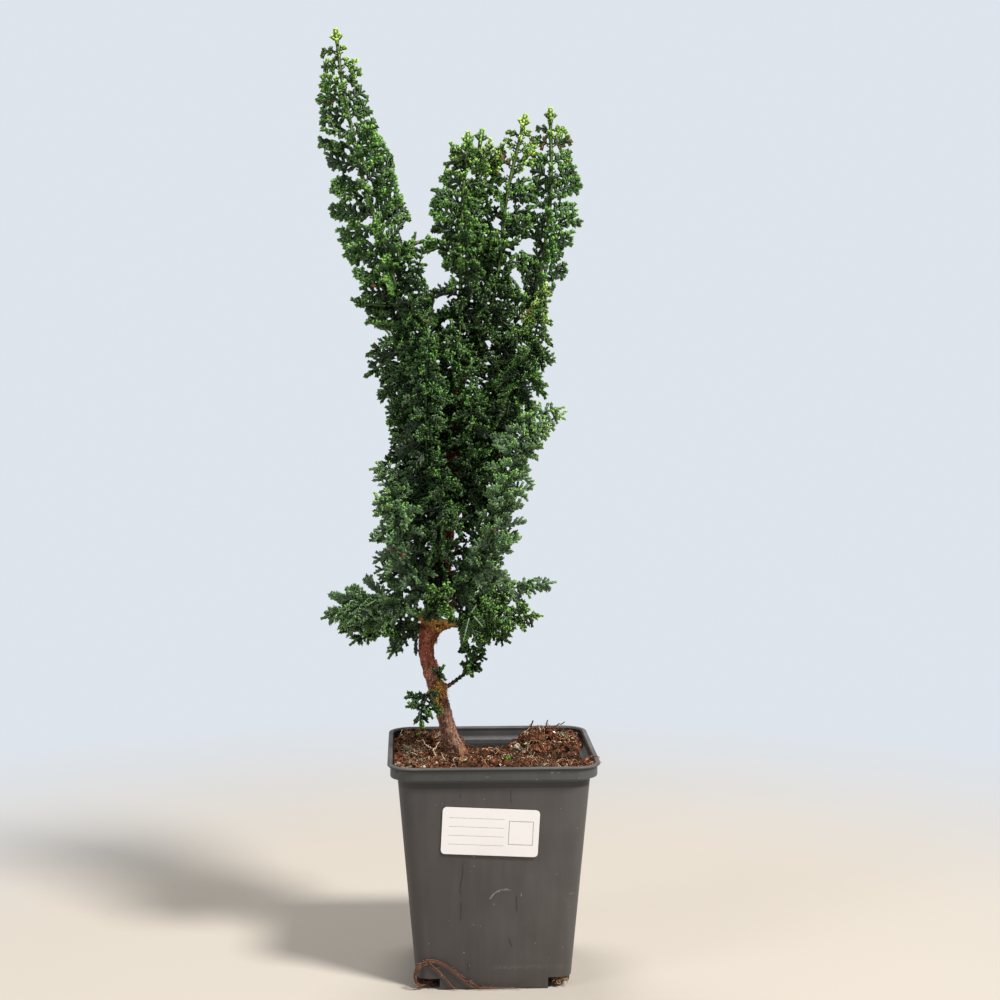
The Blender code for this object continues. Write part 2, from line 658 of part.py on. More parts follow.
def make_wood(paths, green, finish):
    """The stem with the woody foot of every shoot, fused into one."""
    stem = tube([Vector(p) for p, _ in TRUNK], [r for _, r in TRUNK], TRUNK_SIDES)
    wood = add_object("trunk", stem, finish)
    feet = []
    for name, path in paths.items():
        foot = path[:green[name] + 1]
        radii = [STEM_BASE_RADIUS * (1.35 - 0.35 * i / max(len(foot) - 1, 1)) for i in range(len(foot))]
        cut = tangent(path, green[name])
        feet.append(add_object("foot", tube(foot, radii, FOOT_SIDES, cut)))
    boolean(wood, feet, "UNION", "MANIFOLD")
    return wood


def make_loose_root(finish):
    path = smooth_path(LOOSE_ROOT, 0.0028)
    count = len(path)
    radii = [LOOSE_ROOT_RADIUS * (1 - 0.35 * i / (count - 1)) for i in range(count)]
    return add_object("drain_root", tube(path, radii, 5), finish)


def main():
    clear_scene()
    plastic = material("pot_plastic", (0.055, 0.055, 0.058), 0.48)
    paper = material("label_paper", (0.86, 0.84, 0.85), 0.6)
    peat = material("peat", (0.090, 0.048, 0.030), 0.95)
    bark = material("bark", (0.170, 0.060, 0.032), 0.85)
    leaf = material("scale_leaf", (0.030, 0.095, 0.030), 0.55)
    root = material("fine_root", (0.300, 0.110, 0.045), 0.7)
    make_pot(plastic)
    make_label(paper)
    make_soil(peat)
    make_loose_root(root)
    paths = {name: smooth_path(points, STEM_STEP) for name, (points, _, _, _) in SHOOTS.items()}
    green = {name: turn_green(name, paths) for name in paths}
    make_wood(paths, green, bark)
    for name in SHOOTS:
        make_shoot(name, paths, green, leaf)


main()
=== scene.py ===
import math
import random

import bpy
import numpy as np
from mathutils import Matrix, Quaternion, Vector


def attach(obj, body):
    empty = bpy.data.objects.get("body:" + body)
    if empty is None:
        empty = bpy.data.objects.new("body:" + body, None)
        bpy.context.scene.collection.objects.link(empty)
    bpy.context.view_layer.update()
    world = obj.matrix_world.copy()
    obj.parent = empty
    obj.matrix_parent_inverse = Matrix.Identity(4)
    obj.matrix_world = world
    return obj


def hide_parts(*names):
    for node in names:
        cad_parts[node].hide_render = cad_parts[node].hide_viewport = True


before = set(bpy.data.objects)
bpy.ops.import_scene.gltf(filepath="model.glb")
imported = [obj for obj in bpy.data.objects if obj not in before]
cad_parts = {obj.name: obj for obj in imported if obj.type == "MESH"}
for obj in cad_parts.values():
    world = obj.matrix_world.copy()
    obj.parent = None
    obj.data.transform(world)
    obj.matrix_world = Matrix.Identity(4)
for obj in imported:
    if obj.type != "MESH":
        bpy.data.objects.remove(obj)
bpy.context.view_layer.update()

scene = bpy.context.scene


# Camera at the photograph's viewing angle
view = {
    "place": (-0.0427, -1.0354, 0.3365),
    "pitchDown": 0.081,  # radians
    "yaw": 0.046,  # radians, towards +X
    "lens": 70.47,
    "sensor": 36.0,
}

cameraData = bpy.data.cameras.new("camera")
cameraData.lens = view["lens"]
cameraData.sensor_width = view["sensor"]
camera = bpy.data.objects.new("camera", cameraData)
camera.location = view["place"]
camera.rotation_euler = (math.pi / 2 - view["pitchDown"], 0, -view["yaw"])
scene.collection.objects.link(camera)
scene.camera = camera
print("camera set")


# Mesh helpers

def newSkin():
    return {"points": [], "faces": [], "tone": [], "ageAndShade": [], "count": 0, "pale": 0.0}


def addPart(skin, points, faces, tone, ageAndShade=(0, 0, 0)):
    # points (n, 3), faces (m, 3) from 0, tone and age (n, 3) colours in 0..1
    skin["points"].append(points)
    skin["faces"].append(faces + skin["count"])
    skin["tone"].append(np.broadcast_to(tone, (len(points), 3)))
    skin["ageAndShade"].append(np.broadcast_to(ageAndShade, (len(points), 3)))
    skin["count"] += len(points)


def skinObject(name, skin, smooth):
    points = np.concatenate(skin["points"]).astype(np.float32)
    faces = np.concatenate(skin["faces"]).astype(np.int32)
    mesh = bpy.data.meshes.new(name)
    mesh.vertices.add(len(points))
    mesh.vertices.foreach_set("co", points.ravel())
    mesh.loops.add(faces.size)
    mesh.loops.foreach_set("vertex_index", faces.ravel())
    mesh.polygons.add(len(faces))
    mesh.polygons.foreach_set("loop_start", np.arange(0, faces.size, 3, dtype=np.int32))
    mesh.update(calc_edges=True)
    for key in ("tone", "ageAndShade"):
        colours = np.ones((len(points), 4), np.float32)
        colours[:, :3] = np.concatenate(skin[key])
        layer = mesh.attributes.new(key, "FLOAT_COLOR", "POINT")
        layer.data.foreach_set("color", colours.ravel())
    if smooth:
        mesh.shade_smooth()
    else:
        mesh.shade_flat()
    piece = bpy.data.objects.new(name, mesh)
    scene.collection.objects.link(piece)
    return piece


def unit(v):
    return v / np.maximum(np.linalg.norm(v, axis=-1, keepdims=True), 1e-12)


def mixed(first, second, share):
    return np.asarray(first) * (1 - share) + np.asarray(second) * share


def turned(first, second, angle):
    # two directions turned in their own plane, the first one towards the second
    return (first * math.cos(angle) + second * math.sin(angle),
            second * math.cos(angle) - first * math.sin(angle))


def triangles(a, b, c):
    return np.stack(np.broadcast_arrays(a, b, c), axis=-1)


def taper(line, foot, tip):
    return np.linspace(foot, tip, len(line))


def runAlong(path):
    # the way covered at each point of a path
    return np.concatenate([[0], np.cumsum(np.linalg.norm(np.diff(path, axis=0), axis=1))])


def readAt(at, run, values):
    return np.stack([np.interp(at, run, values[:, i]) for i in range(3)], axis=1)


def smoothPath(points, step, between=24):
    # points a step apart along a Catmull-Rom curve, as in the source
    knots = [Vector(p) for p in points]
    knots = [knots[0] * 2 - knots[1], *knots, knots[-1] * 2 - knots[-2]]
    fine = []
    for a, b, c, d in zip(knots, knots[1:], knots[2:], knots[3:]):
        for k in range(between):
            t = k / between
            fine.append(0.5 * (2 * b + (c - a) * t + (2 * a - 5 * b + 4 * c - d) * t ** 2
                               + (3 * b - a - 3 * c + d) * t ** 3))
    fine.append(knots[-2])
    fine = np.array(fine)
    run = runAlong(fine)
    count = max(2, round(run[-1] / step))
    return readAt(np.linspace(0, run[-1], count + 1), run, fine)


def tangents(path):
    return unit(np.gradient(path, axis=0))


# Crown: the skeleton is the source's own, and every shoot is dressed with twiglets of scale leaves

# name: (points of the shoot from the wood to its tip, length of side sprays near the wood and near
# the tip, turn of the flat of the shoot in degrees)
shoots = {
    "leader_tall_left": (
        [(-0.027, 0.001, 0.212), (-0.0384, -0.005, 0.306), (-0.052, -0.006, 0.374),
         (-0.0652, -0.006, 0.415), (-0.0762, -0.006, 0.466), (-0.08, -0.006, 0.4945)],
        0.024, 0.02, 0),
    "leader_mid_left": (
        [(-0.019, 0.005, 0.284), (-0.0162, 0.001, 0.343), (-0.015, 0.0, 0.403), (-0.012, 0.0, 0.443)],
        0.018, 0.022, 15),
    "leader_mid_centre": (
        [(-0.018, 0.005, 0.296), (-0.0085, 0.016, 0.353), (-0.006, 0.016, 0.389), (0.0, 0.012, 0.441)],
        0.016, 0.02, -48),
    "leader_mid_right": (
        [(-0.0172, 0.005, 0.308), (0.002, 0.008, 0.36), (0.0086, 0.006, 0.411), (0.0182, 0.006, 0.453)],
        0.017, 0.017, -12),
    "leader_right": (
        [(-0.0205, 0.005, 0.262), (0.0054, 0.013, 0.316), (0.0235, 0.012, 0.36), (0.0322, 0.012, 0.41),
         (0.0322, 0.012, 0.457)],
        0.012, 0.02, 6),
    "shoot_front_right": (
        [(-0.0225, 0.005, 0.236), (0.003, -0.015, 0.286), (0.019, -0.02, 0.328), (0.0276, -0.02, 0.364)],
        0.019, 0.019, 12),
    "shoot_right_sweep": (
        [(-0.0275, 0.0, 0.196), (-0.006, -0.019, 0.22), (0.004, -0.025, 0.248), (0.014, -0.0275, 0.284),
         (0.036, -0.025, 0.299)],
        0.019, 0.012, 22),
    "shoot_left_front": (
        [(-0.031, 0.0, 0.19), (-0.044, -0.018, 0.222), (-0.05, -0.024, 0.25), (-0.0595, -0.024, 0.269)],
        0.024, 0.016, -30),
    "branch_low_left": (
        [(-0.0325, 0.0, 0.186), (-0.048, -0.012, 0.1975), (-0.068, -0.016, 0.1985),
         (-0.087, -0.016, 0.1925)],
        0.02, 0.018, 25),
    "branch_low_left_droop": (
        [(-0.0335, 0.0, 0.183), (-0.045, 0.002, 0.187), (-0.059, 0.001, 0.187), (-0.073, -0.002, 0.177)],
        0.02, 0.018, -20),
    "branch_low_left_inner": (
        [(-0.034, 0.0, 0.18), (-0.04, -0.012, 0.185), (-0.047, -0.018, 0.182), (-0.053, -0.019, 0.173)],
        0.013, 0.011, 30),
    "branch_low_right": (
        [(-0.03, 0.0, 0.193), (-0.011, 0.0, 0.2), (0.012, -0.002, 0.2055), (0.032, -0.004, 0.2085)],
        0.015, 0.01, 20),
    "branch_low_right_front": (
        [(-0.0315, 0.0, 0.188), (-0.013, -0.015, 0.189), (0.006, -0.021, 0.1925), (0.024, -0.021, 0.193)],
        0.018, 0.013, 30),
    "branch_low_right_under": (
        [(-0.0325, 0.0, 0.185), (-0.018, -0.001, 0.185), (-0.003, -0.004, 0.184), (0.008, -0.006, 0.178)],
        0.015, 0.011, 10),
    "twig_knot_right": (
        [(-0.028, 0.001, 0.149), (-0.019, -0.003, 0.156), (-0.0125, -0.006, 0.162),
         (-0.0085, -0.011, 0.17), (-0.006, -0.012, 0.177)],
        0.012, 0.012, 0),
    "sprig_trunk_left": (
        [(-0.029, 0.0, 0.15), (-0.033, -0.0095, 0.1505), (-0.037, -0.0115, 0.143),
         (-0.0375, -0.0115, 0.1345)],
        0.01, 0.01, 0),
    "sprig_trunk_front": (
        [(-0.031, 0.0, 0.1575), (-0.029, -0.008, 0.159), (-0.0262, -0.011, 0.164)],
        0.0062, 0.005, 0),
    "shoot_front_high": (
        [(-0.0235, 0.0042, 0.224), (-0.033, -0.018, 0.27), (-0.0345, -0.026, 0.305),
         (-0.033, -0.027, 0.34)],
        0.021, 0.015, 24),
    "shoot_between_leaders": (
        [(-0.0205, 0.005, 0.262), (-0.0345, -0.011, 0.32), (-0.0415, -0.017, 0.355),
         (-0.035, -0.017, 0.386)],
        0.019, 0.01, -30),
    "shoot_left_high": (
        [(-0.025, 0.0035, 0.213), (-0.04, 0.011, 0.26), (-0.0465, 0.015, 0.3), (-0.056, 0.015, 0.33)],
        0.02, 0.015, 30),
    "shoot_back_left_high": (
        [(-0.0225, 0.0045, 0.236), (-0.033, 0.022, 0.3), (-0.033, 0.026, 0.364)],
        0.021, 0.015, 58),
    "shoot_back_right_high": (
        [(-0.0212, 0.005, 0.25), (0.002, 0.026, 0.298), (0.009, 0.03, 0.36)],
        0.02, 0.014, -60),
    "shoot_front_low": (
        [(-0.027, 0.002, 0.203), (-0.027, -0.021, 0.237), (-0.028, -0.029, 0.28)],
        0.019, 0.015, 66),
    "shoot_front_upper": (
        [(-0.0205, 0.005, 0.262), (-0.02, -0.011, 0.3), (-0.021, -0.016, 0.345)],
        0.017, 0.015, 0),
    "shoot_mid_front": (
        [(-0.0228, 0.0048, 0.231), (-0.012, -0.016, 0.27), (-0.011, -0.022, 0.325)],
        0.019, 0.015, -52),
    "sprig_front_low": (
        [(-0.0318, -0.001, 0.1895), (-0.031, -0.023, 0.196), (-0.024, -0.034, 0.211)],
        0.014, 0.012, 30),
    "shoot_back_low_left": (
        [(-0.029, 0.001, 0.196), (-0.04, 0.025, 0.212), (-0.046, 0.03, 0.246)],
        0.02, 0.015, 48),
    "shoot_back_low_right": (
        [(-0.0275, 0.002, 0.199), (-0.004, 0.024, 0.212), (0.006, 0.03, 0.242)],
        0.02, 0.015, -50),
    "shoot_back_mid": (
        [(-0.024, 0.004, 0.218), (-0.019, 0.03, 0.256), (-0.016, 0.035, 0.314)],
        0.02, 0.015, 84),
}

# length of the young growth at a shoot's tip, and how light and yellow it is, where they aren't
# the usual ones
youngRun = {"shoot_front_right": 0.034, "shoot_left_front": 0.016, "shoot_right_sweep": 0.024}
tipGlow = {"leader_tall_left": 0.75, "leader_mid_left": 0.6, "leader_mid_centre": 0.75,
           "leader_mid_right": 0.85, "leader_right": 0.75, "shoot_front_right": 0.85,
           "shoot_right_sweep": 0.72, "shoot_left_front": 0.8, "branch_low_right_front": 0.6,
           "sprig_front_low": 0.36, "sprig_trunk_left": 0.4}
sideGlow = {"leader_tall_left": 0.18}  # the most that its side axes glow

stem = [  # middle line and radius of the woody stem, as in the source
    ((-0.017, 0.009, 0.072), 0.0036),
    ((-0.0178, 0.0086, 0.096), 0.0058),
    ((-0.0186, 0.008, 0.113), 0.0054),
    ((-0.0217, 0.006, 0.1235), 0.0045),
    ((-0.0238, 0.004, 0.133), 0.0041),
    ((-0.0262, 0.002, 0.1425), 0.004),
    ((-0.0288, 0.0005, 0.151), 0.0043),
    ((-0.0325, 0.0, 0.1615), 0.0038),
    ((-0.0345, 0.0, 0.1725), 0.0039),
    ((-0.034, 0.0, 0.1815), 0.0043),
    ((-0.0315, 0.0, 0.19), 0.0047),
    ((-0.027, 0.002, 0.2), 0.0036),
    ((-0.024, 0.004, 0.218), 0.0031),
    ((-0.0212, 0.005, 0.25), 0.0026),
    ((-0.019, 0.005, 0.284), 0.002),
    ((-0.0172, 0.005, 0.308), 0.0016),
]

# short side axes that the photograph shows on a shoot: (points, length of their sprays)
sideAxes = {
    "leader_tall_left": [
        ([(-0.0476, -0.006, 0.3815), (-0.0397, -0.006, 0.3873), (-0.0297, -0.006, 0.3889)], 0.008),
        ([(-0.066, -0.008, 0.356), (-0.072, -0.009, 0.358)], 0.007),
        ([(-0.0542, 0.006, 0.3344), (-0.065, 0.008, 0.329)], 0.0075),
        ([(-0.0532, 0.006, 0.3254), (-0.066, 0.008, 0.318)], 0.0075),
        ([(-0.0556, 0.004, 0.3503), (-0.065, 0.006, 0.346)], 0.007)],
    "leader_mid_left": [
        ([(-0.0072, 0.001, 0.432), (-0.0045, 0.001, 0.446)], 0.008),
        ([(-0.0165, -0.001, 0.433), (-0.0205, -0.002, 0.439)], 0.0075),
        ([(-0.013, -0.005, 0.433), (-0.01, -0.007, 0.442)], 0.008)],
    "leader_mid_centre": [
        ([(0.003, 0.011, 0.43), (0.0065, 0.01, 0.4395)], 0.0075)],
    "shoot_right_sweep": [
        ([(0.0175, -0.0285, 0.28), (0.0235, -0.029, 0.289), (0.0305, -0.028, 0.2925)], 0.0085),
        ([(0.008, -0.026, 0.2876), (0.016, -0.026, 0.295), (0.025, -0.026, 0.2995),
          (0.036, -0.026, 0.3022)], 0.008)],
    "shoot_left_front": [
        ([(-0.0555, -0.029, 0.25), (-0.0605, -0.03, 0.258)], 0.008),
        ([(-0.0489, -0.024, 0.266), (-0.0551, -0.025, 0.2712), (-0.0625, -0.025, 0.2706)], 0.007)],
}

crown = {
    "seed": 5,
    "sourceStep": 0.009,  # the source's step along a shoot
    "fineStep": 0.0015,
    "clearOfOthers": 0.0042,  # a shoot turns leafy where it is this far from the others
    "budLength": 0.055,
    "budShare": 0.3,
    "tipTaper": 0.016,  # sprays within this length of a shoot's tip shrink faster
    "sideShare": 1.0,
    "frontShare": 0.84,
    "tipPitch": 0.0026,  # between pairs at the tip of a shoot
    "shortest": 0.003,
    "intrude": 0.003,  # how far foliage may reach past the halfway line to a neighbour
    "firstPair": 0.0046,  # from a shoot's tip down to its first pair
    "stemRing": 0.0021,  # between the rings of a shoot's green stem
    "tilt": 22,  # degrees that a spray may turn out of the flat of its shoot
    "shorter": (0.86, 0.78),  # what a spray and a finger without room shrink by at each try
    "clearOfWood": 0.0006,
    "clearOfAxes": 0.0022,
    "tipReach": 0.0015,
    "fanShare": 0.62,  # of a leader's length, from its tip down
    "ragged": 0.0011,  # how unevenly the sprays keep to the crown's edge
    "testAt": (0.3, 0.6, 1.0),  # where along a spray its room is tested
    "sway": 0.12,  # how far a spray may bend out of its flat, of its length
    "fingerReach": (0.78, 1.12),  # how uneven the fingers' lengths are
    "fingerPace": (0.9, 1.12),  # and the steps between them
    "forkFrom": 0.0018,  # from a finger's foot to its first small bud, and from each to the next
    "forkPitch": 0.0021,
    "forkLongest": 0.0036,
    "stemTaper": 0.2,  # how much slimmer a shoot's green stem is at its tip
    "endBud": (0.006, 0.0068),  # the bud at the very tip: how far down it starts, how long it is
    "leastReach": 0.0034,  # of a spray
    "uneven": (0.84, 1.06),  # how uneven the sprays' lengths are
    "besideStem": 0.0008,  # from the middle of the stem to where a spray starts
}

fan = {  # sprays of the leaders: a thin stalk, then a fan of blunt fingers with buds on them
    "pitch": 0.0043,  # between pairs along the stem
    "turns": (0, 90),
    "angle": 68,
    "swing": 0.16,  # how unevenly the sprays leave the stem, in radians
    "sag": 0.1,
    "bareShare": 0.1,
    "fingerPitch": 0.0029,
    "lean": 46,
    "reach": 0.5,
    "longest": 0.0072,
    "peak": 0.52,
    "spread": 0.42,  # how unevenly the fingers leave the flat of the spray
    "buds": 2,
    "width": 0.0031,
    "thick": 0.0027,
    "swell": (0.66, 0.34, 1.5, 0.24),  # thickness at the foot, gain, how soon, loss at the tip
    "tipLift": 0.26,  # how much lighter a finger's tip is than its foot
    "waist": 0.68,  # width between the leaves' tips
    # how deep the painted shade in the gaps between the leaves is
    "leafGapShade": 0.85,
    "roll": 26,
    "slack": 0.0007,  # how far a spray may pass the crown's edge
    "stalk": 0.72,  # width of a stalk as a share of a finger's
}

feather = {  # sprays of the thick crown: short close fingers along a drooping feather
    "pitch": 0.0027,
    "turns": (0, 90, 45, 135),
    "angle": 84,
    "swing": 0.26,
    "sag": 0.42,
    "bareShare": 0.08,
    "fingerPitch": 0.0019,
    "lean": 44,
    "reach": 0.35,
    "longest": 0.005,
    "peak": 0.35,
    "spread": 0.34,
    "buds": 1,
    "width": 0.0026,
    "thick": 0.0021,
    "swell": (0.78, 0.22, 2.5, 0.26),
    "tipLift": 0.2,
    "waist": 0.54,
    # how deep the painted shade in the gaps between the leaves is
    "leafGapShade": 1.0,
    "roll": 26,
    "slack": 0.0002,
    "stalk": 0.95,
}

leaderKind = {
    "fans": True,  # open fans near the tip
    "stem": 0.0027,  # width of the green stem
    "bud": 0.0044,  # width of the bud at its tip
    "budZone": 0.01,  # length of a tip with fat buds only
    "youngRun": 0.036,
    "tone": 0.12,
    "stemTone": 0.14,
    "woody": 0.12,
}
shootKind = {"fans": False, "stem": 0.0017, "bud": 0.0026, "budZone": 0.0036, "youngRun": 0.018,
             "tone": 0.0, "stemTone": 0.0, "woody": 0.05}

bud = {  # fat young twiglets at a tip: width and thickness of the main one and of the one at its foot
    "main": (0.0032, 0.0028),
    "second": (0.0026, 0.0023),
    "secondFrom": 0.0036,  # shorter buds have no second one
}
thorn = (0.0014, 0.0012, 0.0009)  # length, width and thickness of a stem's own leaves
cover = {  # twiglets that hide a stem
    "length": (0.0034, 0.005),
    "width": 0.0026,
    "thick": 0.0022,
    "along": (0.2, 0.8),  # how far they point along it
}

# how far the sprays stand off their shoot, in degrees, where it isn't the habit's angle
sprayLean = {"shoot_right_sweep": 50, "branch_low_right": 48, "branch_low_right_front": 52,
             "branch_low_left": 55, "shoot_front_right": 100, "sprig_front_low": 42,
             "shoot_left_front": 66, "twig_knot_right": 55, "branch_low_left_droop": 58}
palest = ("shoot_right_sweep", "branch_low_right", "shoot_left_front", "branch_low_left")

# how far the grown foliage of a shoot is towards the lighter tone
toneLift = {"shoot_right_sweep": 0.29, "branch_low_right": 0.31, "branch_low_left": 0.25,
            "shoot_left_front": 0.16, "shoot_front_right": 0.16, "branch_low_right_front": 0.28,
            "sprig_front_low": 0.2, "branch_low_left_droop": 0.16, "leader_right": 0.1,
            "branch_low_right_under": 0.2, "branch_low_left_inner": 0.12, "twig_knot_right": 0.26}

# sprays that show their white midrib: foot and tip
ribbed = {
    "branch_low_right_front": [
        ((-0.0125, -0.03, 0.1936), (-0.0157, -0.03, 0.1809)),
        ((-0.0102, -0.031, 0.1948), (-0.0051, -0.032, 0.1889)),
        ((-0.0087, -0.031, 0.2006), (-0.0112, -0.032, 0.197)),
        ((0.0024, -0.03, 0.1953), (0.0001, -0.031, 0.1927)),
        ((0.0071, -0.029, 0.1941), (0.0047, -0.03, 0.1912))],
    "branch_low_left": [
        ((-0.0605, -0.029, 0.2032), (-0.066, -0.03, 0.2001)),
        ((-0.07, -0.027, 0.196), (-0.0762, -0.028, 0.19))],
}

rib = {
    "core": (0.0017, 0.0012),  # width and thickness
    "white": (0.0011, 0.0006),
    "finger": (0.0034, 0.0019, 0.0014),  # length, width and thickness
    "pitch": 0.0015,
    "paleness": (0.1, 2.8),  # of the fingers and of the midrib
}

leaf = {
    "pitch": 0.0011,  # between one pair of scale leaves and the next
    "lean": 0.62,  # how far a leaf's tip points forward, of the pitch
    "tipPush": 0.6,
    "deadShare": 0.0025,
    "rustShare": 0.08,  # of the youngest tips
}

facePatterns = {}  # the faces of a tube of each length, worked out once


def scaleFaces(count):
    # triangles of a four-cornered tube with count + 1 rings, then the two end caps
    if count not in facePatterns:
        tris = []
        for k in range(count):
            for c in range(4):
                a, b = k * 4 + c, k * 4 + (c + 1) % 4
                e, d = a + 4, b + 4
                if (k % 2 == 0) == (c % 2 == 0):
                    tris += [(a, b, e), (b, d, e)]
                else:
                    tris += [(a, b, d), (a, d, e)]
        top = (count + 1) * 4
        for c in range(4):
            tris.append((count * 4 + c, count * 4 + (c + 1) % 4, top))
        tris += [(0, 3, 2), (0, 2, 1)]
        facePatterns[count] = np.array(tris, np.int32)
    return facePatterns[count]


def growScales(skin, centres, side, width, thick, waist, tone, ageAndShade, leafGapShade):
    # a twig of scale leaves in crossed pairs: side leaves on even rings, flat leaves on odd rings
    count = len(centres) - 1
    along = tangents(centres)
    side = unit(side - along * np.sum(side * along, axis=1, keepdims=True))
    face = np.cross(along, side)
    pitch = np.linalg.norm(centres[1] - centres[0])
    even = (np.arange(count + 1) % 2 == 0)[:, None]
    lean = leaf["lean"] * pitch
    sideReach = width[:, None] / 2 * np.where(even, 1.0, waist)
    faceReach = thick[:, None] / 2 * np.where(even, waist, 1.0)
    sidePush = along * np.where(even, lean, -lean / 3)
    facePush = along * np.where(even, -lean / 3, lean)
    rings = np.stack([centres + side * sideReach + sidePush, centres + face * faceReach + facePush,
                      centres - side * sideReach + sidePush, centres - face * faceReach + facePush],
                     axis=1)
    tip = centres[-1] + along[-1] * pitch * leaf["tipPush"]
    points = np.concatenate([rings.reshape(-1, 3), tip[None]])
    colours = np.empty((count + 1, 4, 3))
    colours[:, :, 0] = tone[0] + (tone[1] - tone[0]) * np.linspace(0, 1, count + 1)[:, None]
    # painted light and shade: the green channel is 0 at the leaf tips, which the finish paints light as
    # highlights, and rises in the gaps between the leaves, which it paints dark as shade
    colours[:, :, 1] = np.where(even, [[0, 1, 0, 1]], [[1, 0, 1, 0]]) * leafGapShade
    colours[:, :, 2] = skin["pale"]
    colours[:, 3 if face[:, 2].mean() > 0 else 1, 2] = 0.25 + skin["pale"]  # the side that looks down
    last = np.array([[tone[1], 0.0, 0.0]])
    addPart(skin, points, scaleFaces(count), np.concatenate([colours.reshape(-1, 3), last]), ageAndShade)


def growTwiglet(skin, start, heading, side, length, width, thick, habit, tone, ageAndShade, bend):
    count = max(2, round(length / leaf["pitch"]))
    share = np.linspace(0, 1, count + 1)
    centres = start + heading * (share * length)[:, None] + bend * (share ** 2)[:, None]
    foot, gain, soon, loss = habit["swell"]
    plump = foot + gain * np.minimum(1, share * soon) - loss * share ** 6
    growScales(skin, centres, side, width * plump, thick * plump, habit["waist"], tone, ageAndShade, habit["leafGapShade"])


sourcePaths = {name: smoothPath(points, crown["sourceStep"]) for name, (points, _, _, _) in shoots.items()}
names = list(shoots)
segmentStarts = np.concatenate([sourcePaths[n][:-1] for n in names])
segmentRuns = np.concatenate([np.diff(sourcePaths[n], axis=0) for n in names])
segmentLengths = np.sum(segmentRuns ** 2, axis=1)
ownerFirst = np.cumsum([0] + [len(sourcePaths[n]) - 1 for n in names])[:-1]
woodStarts = np.array([p for p, _ in stem])[:-1]
woodRuns = np.diff(np.array([p for p, _ in stem]), axis=0)
woodRadii = np.array([r for _, r in stem])


def toShoots(points):
    # least distance from each point to each shoot, (points, shoots)
    off = points[:, None] - segmentStarts[None]
    share = np.clip(np.sum(off * segmentRuns, axis=2) / segmentLengths, 0, 1)
    gap = np.linalg.norm(off - segmentRuns * share[..., None], axis=2)
    return np.minimum.reduceat(gap, ownerFirst, axis=1)


def toWood(points):
    off = points[:, None] - woodStarts[None]
    share = np.clip(np.sum(off * woodRuns, axis=2) / np.sum(woodRuns ** 2, axis=1), 0, 1)
    radius = woodRadii[:-1] + np.diff(woodRadii) * share
    return (np.linalg.norm(off - woodRuns * share[..., None], axis=2) - radius).min(axis=1)


def greenFrom(name):
    # index on the source's path from which the shoot is clear of the stem and of the others
    path = sourcePaths[name]
    own = names.index(name)
    gaps = toShoots(path)
    gaps[:, own] = 1.0
    clear = (gaps.min(axis=1) >= crown["clearOfOthers"]) & (toWood(path) >= crown["clearOfOthers"] / 2)
    first = len(path) - 1
    for i in range(len(path) - 1, 0, -1):
        if not clear[i]:
            break
        first = i
    return min(first, len(path) - 2)


# the crown's edge, and below it the gaps, chosen and laid on the plane y = 0
crownEdge = {
    "left": [
        (0.19, -0.091), (0.203, -0.0865), (0.2075, -0.0745), (0.2105, -0.0675), (0.221, -0.062),
        (0.2415, -0.066), (0.2585, -0.057), (0.269, -0.061), (0.279, -0.0515), (0.285, -0.053),
        (0.3035, -0.057), (0.3105, -0.065), (0.3375, -0.065), (0.357, -0.067), (0.377, -0.0765),
        (0.3965, -0.08), (0.414, -0.0845), (0.4375, -0.0885), (0.48, -0.0885), (0.4905, -0.0865),
        (0.497, -0.0825)],
    "right": [
        (0.184, 0.021), (0.1925, 0.027), (0.2, 0.0215), (0.205, 0.036), (0.21, 0.0325), (0.213, 0.0085),
        (0.222, 0.0095), (0.24, 0.019), (0.251, 0.0165), (0.264, 0.024), (0.2785, 0.0265),
        (0.297, 0.04), (0.305, 0.031), (0.3225, 0.034), (0.346, 0.0295), (0.357, 0.0305),
        (0.3695, 0.0365), (0.386, 0.041), (0.399, 0.046), (0.4275, 0.0455), (0.443, 0.041),
        (0.455, 0.035)],
    "notchLeft": [
        (0.397, -0.038), (0.4015, -0.044), (0.41, -0.0455), (0.416, -0.0495), (0.435, -0.051),
        (0.442, -0.056), (0.4575, -0.063), (0.468, -0.067), (0.4795, -0.0675), (0.4885, -0.074),
        (0.497, -0.0775)],
    "notchRight": [
        (0.3725, -0.026), (0.3915, -0.0285), (0.409, -0.0325), (0.421, -0.0305), (0.4325, -0.024),
        (0.4465, -0.014)],
}
